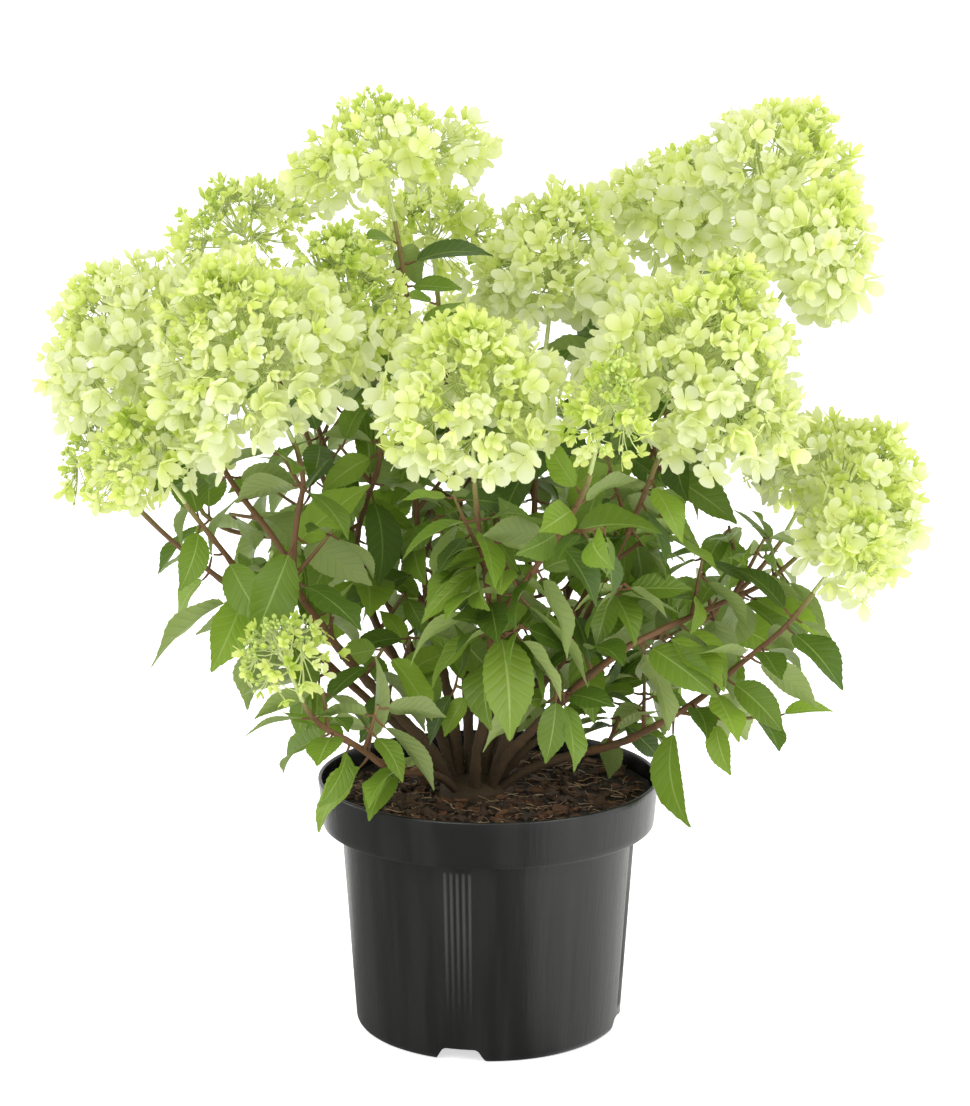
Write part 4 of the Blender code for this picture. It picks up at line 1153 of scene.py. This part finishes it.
def chip_shape(seed):
    """An uneven flake: a cube cut finer, squashed and roughed up."""
    thing = new_model(bpy.ops.mesh.primitive_cube_add, size=1.0)
    scale_model(thing, CHIP_FORM)
    switch_mode("EDIT")
    bpy.ops.mesh.select_all(action="SELECT")
    bpy.ops.mesh.subdivide(number_cuts=1)
    switch_mode("OBJECT")
    rng = random.Random(seed)
    for vertex in thing.data.vertices:
        vertex.co.x *= rng.uniform(0.75, 1.12)
        vertex.co.y *= rng.uniform(0.70, 1.15)
        vertex.co.z *= rng.uniform(0.60, 1.25)
        vertex.co.y += 0.08 * math.sin(5 * vertex.co.x + seed)
    return shape_from(thing)


def random_turns(rng, count, tumble):
    """Rotations about all axes; the tumble scales how far things tilt."""
    turns = []
    for _ in range(count):
        turn = Matrix.Rotation(rng.uniform(0, math.tau), 3, "Z")
        tilt = Matrix.Rotation(rng.gauss(0, 0.35) * tumble, 3, "X")
        turns.append(np.array(turn @ (tilt @ Matrix.Rotation(rng.gauss(0, 0.3) * tumble, 3, "Y"))))
    return turns


def soil_places(rng, count, lift, reach):
    """Places on the mix outside the stool, raised by a random lift."""
    places = []
    while len(places) < count:
        away = reach * math.sqrt(rng.random())
        turn = rng.uniform(0, math.tau)
        x, y = away * math.cos(turn), away * math.sin(turn)
        if math.hypot(x - STOOL_X, y) > STOOL_FLARE * 0.95:
            places.append((x, y, soil_height(x, y) + rng.uniform(*lift)))
    return places


def make_chips():
    """Pine bark chips and finer crumbs lying in the mix."""
    rng = random.Random("chips")
    pile = Pile()
    shapes = [chip_shape(seed) for seed in CHIP_SEEDS]
    for number, shape in enumerate(shapes):
        for kind, chips in enumerate(CHIPS):
            count = chips.count // len(shapes)
            sizes = [rng.uniform(*chips.sizes) for _ in range(count)]
            places = soil_places(rng, count, chips.lift, chips.reach)
            turns = random_turns(rng, count, chips.tumble)
            tones = [rng.random() for _ in range(count)]
            pile.scatter(shape, turns, sizes, places, tones, (number + kind) % 2)
    finishes = [crumb_finish("red_bark_chip", (0.016, 0.007, 0.003), (0.150, 0.066, 0.026)),
                crumb_finish("brown_chip", (0.007, 0.004, 0.002), (0.085, 0.046, 0.020))]
    pile.build("bark_chips", finishes, "potting_mix").data.shade_flat()


def make_fibres():
    """Pale coir fibres that curl on the mix."""
    rng = random.Random("fibres")
    pile = Pile()
    for place in soil_places(rng, FIBRE_COUNT, (0.0010, 0.0026), FIBRE_REACH):
        turn = rng.uniform(0, math.tau)
        length = rng.uniform(*FIBRE_LENGTH)
        bend = rng.uniform(-1.5, 1.5)
        point = Vector(place)
        path = [point.copy()]
        for _ in range(FIBRE_STEPS):
            turn += bend / FIBRE_STEPS
            point += Vector((math.cos(turn), math.sin(turn), rng.uniform(-0.22, 0.30))) * length / FIBRE_STEPS
            point.z = max(point.z, soil_height(point.x, point.y) + 0.0004)
            if point.to_2d().length < 0.120:
                path.append(point.copy())
        if len(path) > 2:
            thick = rng.uniform(*FIBRE_RADIUS)
            radii = [thick * (1.0 - 0.5 * i / len(path)) for i in range(len(path))]
            pile.add(tube(path, radii, 3), rng.random())
    pile.build("coir_fibres", [crumb_finish("coir", (0.19, 0.110, 0.052), (0.62, 0.45, 0.27))], "potting_mix")


# ---- stool and boughs --------------------------------------------

def finer(path, step):
    """A smooth path through the points of a coarse one."""
    fine = []
    points = [path[0] * 2 - path[1], *path, path[-1] * 2 - path[-2]]
    for a, b, c, d in zip(points, points[1:], points[2:], points[3:]):
        count = max(1, round((c - b).length / step))
        for i in range(count):
            t = i / count
            fine.append(0.5 * ((2 * b) + (c - a) * t + (2 * a - 5 * b + 4 * c - d) * t * t
                               + (3 * b - a - 3 * c + d) * t ** 3))
    return fine + [path[-1].copy()]


def barky(shape, sides):
    """Pushes a tube's rings out and in by noise that runs along the limb."""
    moved = []
    for start in range(0, len(shape.points), sides):
        ring = shape.points[start:start + sides]
        middle = sum(ring, Vector()) / sides
        for point in ring:
            lump = noise.fractal(Vector((point.x, point.y, point.z * 0.35)) * 420, 0.7, 2.0, 3)
            moved.append(point + (point - middle) * 0.16 * lump)
    return shape._replace(points=moved)


def swelled(path, radii, pitch, swell, width):
    """Radii that swell at the nodes."""
    distance = 0.0
    result = []
    for index, radius in enumerate(radii):
        if index:
            distance += (path[index] - path[index - 1]).length
        near = (distance + pitch * 0.5) % pitch - pitch * 0.5
        result.append(radius * (1.0 + swell * math.exp(-(near / width) ** 2)))
    return result


def stool_shape():
    """Lumpy rings from the stool's flat foot to its rounded top, pressed down."""
    foot = SOIL_TOP + CLEAR
    rows = [(STOOL_FLARE, 0.0), (STOOL_FLARE * 0.985, 0.07), (STOOL_RADIUS * 1.12, 0.16),
            (STOOL_RADIUS * 1.06, 0.22), (STOOL_RADIUS * 1.03, 0.35), (STOOL_RADIUS, 0.48),
            (0.93 * STOOL_RADIUS, 0.65), (0.82 * STOOL_RADIUS, 0.80), (0.66 * STOOL_RADIUS, 0.91),
            (0.45 * STOOL_RADIUS, 0.97), (0.2 * STOOL_RADIUS, 0.995), (0.02 * STOOL_RADIUS, 1.0)]
    points = []
    for radius, share in rows:
        for step in range(STOOL_SIDES):
            turn = step * math.tau / STOOL_SIDES
            swell = 1.0 + STOOL_LUMP * (0.6 * math.sin(3 * turn + 0.7) + 0.4 * math.sin(5 * turn))
            point = Vector((radius * swell * math.cos(turn) + STOOL_X, radius * swell * math.sin(turn),
                            foot + share * STOOL_HEIGHT))
            lump = noise.fractal(Vector((point.x, point.y, point.z * 0.3)) * 160, 0.7, 2.0, 3)
            out = Vector((math.cos(turn), math.sin(turn), 0.0))
            x, y, z = point + out * lump * 0.0016 * min(1.0, share * 8)
            points.append((x, y, SOIL_TOP + (z - SOIL_TOP) * STOOL_FLAT))
    return ringed(points, STOOL_SIDES, [share * STOOL_HEIGHT for _, share in rows], 4)


def rooted(path):
    """The path with its lowest stretch bent down beside the stool, into the mix."""
    away = (path[-1] - path[0]).to_2d().normalized() * ROOT_SPREAD
    shift = Vector((away.x, away.y, SOIL_TOP - ROOT_DEPTH - path[0].z))
    made = []
    for point in path:
        share = max(0.0, 1.0 - (point - path[0]).length / ROOT_REACH)
        made.append(point + shift * share ** 2)
    return made


def make_boughs():
    """The stool and the woody boughs in one barky mesh."""
    pile = Pile()
    pile.add(stool_shape(), 0.9)
    for bough in BOUGHS:
        path = rooted(finer(bough_path(bough), BARK_STEP))
        radii = taper(bough.radius * 0.94, BOUGH_TIP_RADIUS * 0.86, len(path))
        shape = barky(tube(path, swelled(path, radii, *BARK_NODES), BARK_SIDES), BARK_SIDES)
        pile.add(shape, np.repeat(np.linspace(0.95, 0.25, len(path)), BARK_SIDES))
    names = ["stool"] + [f"bough_{bough.name}" for bough in BOUGHS]
    pile.build("stool_and_boughs", [bark_finish()], "bark", *names)


def make_shoots(masses, finish):
    """Flowering shoots and side twigs, redder below and greener above."""
    pile = Pile()
    for mass in masses:
        for path, radii in zip(mass.paths, mass.radii):
            fine = finer(path, SHOOT_STEP)
            thick = swelled(fine, taper(radii[0] * 0.84, radii[-1] * 0.84, len(fine)), *SHOOT_NODES)
            share = np.linspace(0.0, 1.0, len(fine))
            tones = np.repeat(np.clip(share * 1.5 - 0.75, 0.0, 1.0) + 0.04, SHOOT_SIDES)
            pile.add(tube(fine, thick, SHOOT_SIDES), tones)
        for path, radii in mass.twigs:
            fine = finer(path, SHOOT_STEP)
            shape = tube(fine, taper(radii[0] * 0.8, radii[-1] * 0.7, len(fine)), TWIG_SIDES)
            pile.add(shape, np.repeat(np.linspace(0.15, 0.75, len(fine)), TWIG_SIDES))
    pile.build("shoots_and_twigs", [finish], "bark")


# ---- leaves ------------------------------------------------------

def blade_half(share):
    """Half width of the blade by its length: rounded foot, oval body, short drawn-out tip."""
    point = 1.0 - TIP_PINCH * max(0.0, (share - TIP_START) / (1.0 - TIP_START))
    return OVAL * share ** 0.68 * (1.0 - share) ** 0.90 * point * LEAF_SLIM


def leaf_mark(point):
    """A blade point's place in the UV map: across it and along it."""
    x, y = point
    return 0.5 + 0.5 * max(-1.0, min(1.0, y / max(blade_half(x), 0.02))), x


def flat_leaf():
    """Flat blade of unit length with teeth along both edges."""
    points = [(share, column * blade_half(share)) for share in LEAF_ROWS for column in LEAF_COLUMNS]
    width = len(LEAF_COLUMNS)
    quads = []
    teeth = []
    for row, (near, far) in enumerate(zip(LEAF_ROWS, LEAF_ROWS[1:])):
        for column in range(width - 1):
            low = row * width + column
            quads.append((low, low + width, low + width + 1, low + 1))
        share = near * 0.22 + far * 0.78
        for column, side in ((0, -1), (width - 1, 1)):
            low, high, apex = row * width + column, (row + 1) * width + column, len(points)
            points.append((share, side * (blade_half(share) + TOOTH)))
            teeth.append((low, apex, high) if side < 0 else (low, high, apex))
    blocks = [quads, teeth]
    uvs = [[[leaf_mark(points[i]) for i in face] for face in faces] for faces in blocks]
    return Shape(np.array(points), blocks, uvs)


def bent_leaf(flat, size, rng):
    """The flat blade folded at the midrib, cupped, waved and bent down along its length."""
    share = flat[:, 0]
    y = flat[:, 1] * size
    fold = rng.uniform(0.10, 0.42)
    bend = rng.uniform(0.25, 1.15)
    wave = rng.uniform(0.0, 0.05)
    phase = rng.uniform(0.0, math.tau)
    side = np.abs(flat[:, 1]) / (LEAF_SLIM / 2)
    lift = np.abs(y) * fold + wave * size * side * np.sin(share * 9.0 + phase + np.sign(y) * 0.8)
    turn = bend * (share - 0.25)
    radius = size / bend
    along = radius * (np.sin(turn) - np.sin(-0.25 * bend))
    down = radius * (np.cos(turn) - np.cos(-0.25 * bend))
    sway = rng.uniform(-0.12, 0.12) * size * share ** 2
    return np.stack([along + lift * np.sin(turn), y + sway, down + lift * np.cos(turn)], axis=1)


def draped(points):
    """A blade that reaches over the rim from inside is laid on it instead of cutting through it."""
    away = np.hypot(points[:, 0], points[:, 1])
    over = (away > RIM_RADIUS - RIM_ROOM) & (points[:, 2] < POT_HEIGHT + RIM_ROOM)
    if away.min() > RIM_RADIUS or not over.any():
        return points
    drop = np.clip((away - RIM_RADIUS) / RIM_ROOM - 1.0, 0.0, None) * RIM_ROOM * RIM_FALL
    lowest = np.where(away > RIM_RADIUS - 3 * RIM_ROOM, POT_HEIGHT + RIM_ROOM - drop, -1.0)
    moved = points.copy()
    moved[:, 2] = np.maximum(points[:, 2], lowest)
    return moved


def make_leaves(masses, stem):
    """Every leaf blade in one piece and the leaf stalks in another."""
    blades = Pile()
    stalks = Pile()
    flat = flat_leaf()
    kinds = range(len(LEAF_KINDS))
    shares = [kind.share for kind in LEAF_KINDS]
    for mass in masses:
        for number, (place, size) in enumerate(mass.leaves):
            rng = random.Random(f"{mass.name} blade {number}")
            points = bent_leaf(flat.points, size * (1.0 - PETIOLE), rng)
            turned = place.to_3x3() @ Matrix.Rotation(rng.gauss(0.0, BLADE_ROLL), 3, "X")
            root = place.translation
            end = place @ Vector((size * PETIOLE, 0.0, 0.0))
            world = draped(points @ np.array(turned).T + np.array(end))
            kind = rng.choices(kinds, shares)[0]
            blades.add(flat._replace(points=world), rng.random(), kind)
            stalks.add(tube((root, (root + end) / 2 - UP * PETIOLE_SAG, end), PETIOLE_RADII, 5), 0.35)
    blades.build("leaf_blades", [leaf_finish(kind) for kind in LEAF_KINDS], "leaf",
                 *[f"foliage_{mass.name}" for mass in masses])
    stalks.build("leaf_stalks", [stem], "leaf")


# ---- flower heads ------------------------------------------------

def floret_shape(rows, cup, twist, gape):
    """Four overlapping rounded sepals round a small eye, of unit radius."""
    points = []
    quads = []
    uvs = []
    for number in range(4):
        lower = number % 2
        angle = number * math.tau / 4 + twist * lower
        reach = 1.0 if lower else 0.9
        start = len(points)
        for away, half in rows:
            for column in (-1, 0, 1):
                x = away * reach + (0.05 if column == 0 and away > 0.9 else 0.0)
                y = column * half
                z = cup * away * away + gape * away + 0.14 * abs(y) - 0.05 * lower
                points.append((x * math.cos(angle) - y * math.sin(angle),
                               x * math.sin(angle) + y * math.cos(angle), z))
        for row, ((near, _), (far, _)) in enumerate(zip(rows, rows[1:])):
            for column in (0, 1):
                first = start + row * 3 + column
                quads.append((first, first + 3, first + 4, first + 1))
                left, right = column / 2, (column + 1) / 2
                uvs.append(((left, near), (left, far), (right, far), (right, near)))
    eye = len(points)
    points += [(0.09, 0, 0.05), (0, 0.09, 0.05), (-0.09, 0, 0.05), (0, -0.09, 0.05), (0, 0, 0.15)]
    tris = [(eye + i, eye + (i + 1) % 4, eye + 4) for i in range(4)]
    return Shape(points, [quads, tris], [uvs, [((0.5, 0.0),) * 3] * 4])


def bud_shape():
    """A closed round bud: an icosphere drawn out a little at its tip."""
    thing = new_model(bpy.ops.mesh.primitive_ico_sphere_add, subdivisions=1, radius=1.0)
    for vertex in thing.data.vertices:
        if vertex.co.z > 0.5:
            vertex.co.z *= 1.25
    return shape_from(thing)


def dome_point(head, up, turn, share):
    """A point of a head's dome: up runs from -1 at its foot to 1 at its top."""
    girth = abs(math.sin(math.pi * ((1.0 - up) / 2) ** DOME_SLANT)) ** DOME_ROUND
    wide = girth * head.width / 2 * share
    return Vector((wide * math.cos(turn), wide * math.sin(turn), up * head.height / 2 * share))


def lobe(point, seed):
    """How far the head swells out towards a point: the ends of its side branches."""
    way = point.normalized()
    broad = noise.noise(way * 1.9 + Vector((seed, 0.0, 0.0)))
    fine = noise.noise(way * 4.6 + Vector((0.0, seed, 0.0)))
    return 1.0 + LOBE_BROAD * broad + LOBE_FINE * fine


def dome_way(head, point):
    out = Vector((point.x / head.width ** 2, point.y / head.width ** 2, point.z / head.height ** 2))
    return out.normalized()


def tint_of(youth):
    return sum(youth >= limit for limit in TINT_LIMITS)


class Bloom:
    """Everything on the heads: florets by form and tint, buds and fine stalks."""

    def __init__(self):
        self.forms = {kind: [floret_shape(SEPAL_ROWS[kind], *form) for form in forms]
                      for kind, forms in FLORETS.items()}
        self.forms["bud"] = [bud_shape()]
        self.stalks = Pile()
        self.batches = {}

    def place(self, kind, form, tint, place, way, size, rng):
        turn = np.array((turned_to(way) @ Matrix.Rotation(rng.uniform(0, math.tau), 4, "Z")).to_3x3())
        self.batches.setdefault((kind, form, tint), []).append((turn, size, tuple(place), rng.random()))

    def build(self):
        florets = [Pile() for _ in TINTS]
        buds = Pile()
        for (kind, form, tint), made in self.batches.items():
            pile = buds if kind == "bud" else florets[tint]
            pile.scatter(self.forms[kind][form], *zip(*made))
        for pile, (name, colours) in zip(florets, TINTS.items()):
            nodes = [f"panicle_{head}" for head in HEADS] if pile is florets[0] else []
            pile.build(f"florets_{name}", [sepal_finish(f"sepal_{name}", *colours)], "bloom", *nodes)
        buds.build("flower_buds", [plain_green("bud_green", (0.440, 0.560, 0.130), 0.5)], "bloom")
        self.stalks.build("flower_stalks", [plain_green("flower_stalk_green", (0.580, 0.660, 0.270), 0.55)],
                          "bloom")


class Panicle:
    """One head, built in its own upright frame and then set in place."""

    def __init__(self, name, bloom):
        self.rng = random.Random(f"bloom {name}")
        self.seed = self.rng.uniform(0.0, 40.0)
        head = HEADS[name]
        self.head = head
        self.area = math.pi * head.width * head.height
        self.bloom = bloom
        self.placing = Matrix.Translation(Vector(head.place)) @ turned_to(head_axis(head))

    def grow(self):
        """Axis and side branches, a fine layer of small florets, larger ones over it."""
        head = self.head
        foot = Vector((0, 0, -head.height / 2 - STALK))
        crown = Vector((0, 0, head.height * 0.36))
        spine = [foot.lerp(crown, share) for share in (0.0, 0.3, 0.6, 1.0)]
        self.stalk(spine, (SHOOT_TIP_RADIUS, 0.0018, 0.0013, 0.0006), 0.7)
        self.tips = self.branch_tips()
        for tip in self.tips:
            start = foot.lerp(crown, min(0.95, max(0.12, 0.30 + 0.5 * (tip.z / head.height + 0.35))))
            middle = start.lerp(tip, 0.55) + Vector((0, 0, -0.04 * head.height))
            self.stalk((start, middle, tip), (0.0011, 0.0009, 0.0007), 0.8)
        self.add_small()
        self.add_large()

    def stalk(self, path, radii, tone):
        self.bloom.stalks.add(tube([self.placing @ point for point in path], radii, 3), tone)

    def branch_tips(self):
        """Tips of the head's side branches, spread over a smaller dome."""
        count = max(9, int(self.area / BRANCH_PITCH ** 2 * 0.8))
        tips = []
        for number in range(count):
            up = 0.9 - 1.45 * (number + 0.5) / count
            turn = number * GOLDEN_TURN + self.rng.uniform(-0.2, 0.2)
            tips.append(dome_point(self.head, up, turn, self.rng.uniform(0.5, 0.68)))
        return tips

    def settle(self, kind, up, turn, depth, size, tint, spread):
        """A floret or bud on the dome, with a fine stalk from the nearest side branch."""
        rng = self.rng
        point = dome_point(self.head, up, turn, depth)
        point = point * lobe(point, self.seed)
        point += Vector([rng.uniform(-1, 1) for _ in range(3)]) * 0.004
        way = dome_way(self.head, point) + Vector([rng.gauss(0, 1) for _ in range(3)]) * spread
        way.z += 0.12
        near = min(self.tips, key=lambda place: (place - point).length_squared)
        middle = near.lerp(point, 0.6) + Vector((0, 0, -0.002))
        thin = rng.uniform(0.00040, 0.00052)
        self.stalk((near, middle, point), (thin * 1.3, thin, thin), rng.uniform(0.7, 1.0))
        form = rng.randrange(len(self.bloom.forms[kind]))
        way = (self.placing.to_3x3() @ way).normalized()
        self.bloom.place(kind, form, tint, self.placing @ point, way, size, rng)

    def add_small(self):
        """Small florets all over the head, with clusters of buds where it is young."""
        rng = self.rng
        ripe = self.head.ripe
        count = int(self.area / SMALL_PITCH ** 2 * (1.25 - 0.45 * ripe) * min(1.0, 0.45 + 1.8 * ripe))
        for number in range(count):
            up = 0.99 - 1.68 * ((number + 0.5) / count)
            youth = (1.0 - ripe) * 0.75 + (0.5 + 0.5 * up) * 0.55 + rng.gauss(0, 0.15)
            turn = number * GOLDEN_TURN + rng.uniform(-0.2, 0.2)
            depth = rng.uniform(0.78, 1.05)
            if youth > rng.uniform(0.75, 1.25):
                for _ in range(3):
                    self.settle("bud", up, turn + rng.uniform(-0.08, 0.08), depth * rng.uniform(0.93, 1.05),
                                rng.uniform(0.0011, 0.0023), 0, 0.4)
            else:
                size = rng.uniform(0.0042, 0.0086) * (0.8 + 0.25 * ripe)
                self.settle("small", up, turn, depth, size, tint_of(youth), 0.45)

    def add_large(self):
        """Wide open florets, larger towards the foot and the riper the head is."""
        rng = self.rng
        ripe = self.head.ripe
        count = int(self.area / LARGE_PITCH ** 2 * (0.12 + 0.88 * ripe))
        for number in range(count):
            share = ((number + 0.5) / count) ** 0.62
            up = 0.92 - 1.70 * share
            youth = (1.0 - ripe) * 0.55 + (0.4 + 0.5 * up) * 0.40 + rng.gauss(0, 0.13)
            size = (0.0078 + 0.0066 * ripe) * (0.62 + 0.42 * min(1.0, share * 1.3)) * rng.uniform(0.75, 1.18)
            turn = number * GOLDEN_TURN * 1.01 + rng.uniform(-0.3, 0.3)
            self.settle("wide", up, turn, rng.uniform(0.90, 1.07), size, tint_of(youth), 0.5)


# ---- studio ------------------------------------------------------

def make_floor():
    """A white floor that glows. In reflections its front and left are dark."""
    floor = new_model(bpy.ops.mesh.primitive_plane_add, size=FLOOR_SIZE)
    floor.name = "studio_floor"
    made, wires, shader = new_finish("pale_studio_floor")
    rays = wires.node("ShaderNodeLightPath").outputs
    parts = wires.parts(wires.place())
    bearing = wires.maths("ARCTAN2", parts["X"], wires.times(parts["Y"], -1.0))
    light = wires.maths("MAXIMUM", wires.between(bearing, 0.28, 0.75), wires.between(bearing, -2.1, -2.6))
    dark = wires.times(rays["Is Glossy Ray"], wires.maths("SUBTRACT", 1.0, light))
    glow = wires.between(rays["Is Camera Ray"], 0.0, 1.0, 0.20, 0.62)
    wires.feed(shader, {"Base Color": wires.blend(dark, (0.95, 0.95, 0.95), (0.30, 0.30, 0.30)),
                        "Roughness": 0.9, "Emission Color": (1.0, 1.0, 1.0),
                        "Emission Strength": wires.times(glow, wires.maths("SUBTRACT", 1.0, dark))})
    floor.data.materials.append(made)


def add_to_scene(name, data, place):
    thing = bpy.data.objects.new(name, data)
    thing.location = place
    bpy.context.scene.collection.objects.link(thing)
    return thing


def make_lights():
    world = bpy.data.worlds.new("studio_white")
    bpy.context.scene.world = world
    world.use_nodes = True
    sky = world.node_tree.nodes["Background"]
    sky.inputs["Color"].default_value = (1.0, 1.0, 1.0, 1.0)
    sky.inputs["Strength"].default_value = 1.0
    for light in LIGHTS:
        data = bpy.data.lights.new(light.name, "AREA")
        data.shape = "RECTANGLE"
        data.size, data.size_y = light.size
        data.energy = light.power
        thing = add_to_scene(light.name, data, light.place)
        thing.rotation_mode = "QUATERNION"
        way = Vector(light.target) - Vector(light.place)
        thing.rotation_quaternion = way.to_track_quat("-Z", "Y")


def make_camera():
    data = bpy.data.cameras.new("camera")
    data.lens = CAMERA_LENS
    camera = add_to_scene("camera", data, CAMERA_PLACE)
    camera.rotation_euler = (math.radians(90.0 - CAMERA_DIP), 0.0, 0.0)
    bpy.context.scene.camera = camera


# ---- the plant ---------------------------------------------------

def main():
    deselect_all()
    bpy.context.scene.view_settings.view_transform = "Standard"
    make_camera()
    make_floor()
    make_lights()
    make_pot()
    make_potting_mix()
    make_chips()
    make_fibres()
    make_boughs()
    masses = grown_masses()
    stem = stem_finish()
    make_shoots(masses, stem)
    make_leaves(masses, stem)
    bloom = Bloom()
    for name in HEADS:
        Panicle(name, bloom).grow()
    bloom.build()


main()
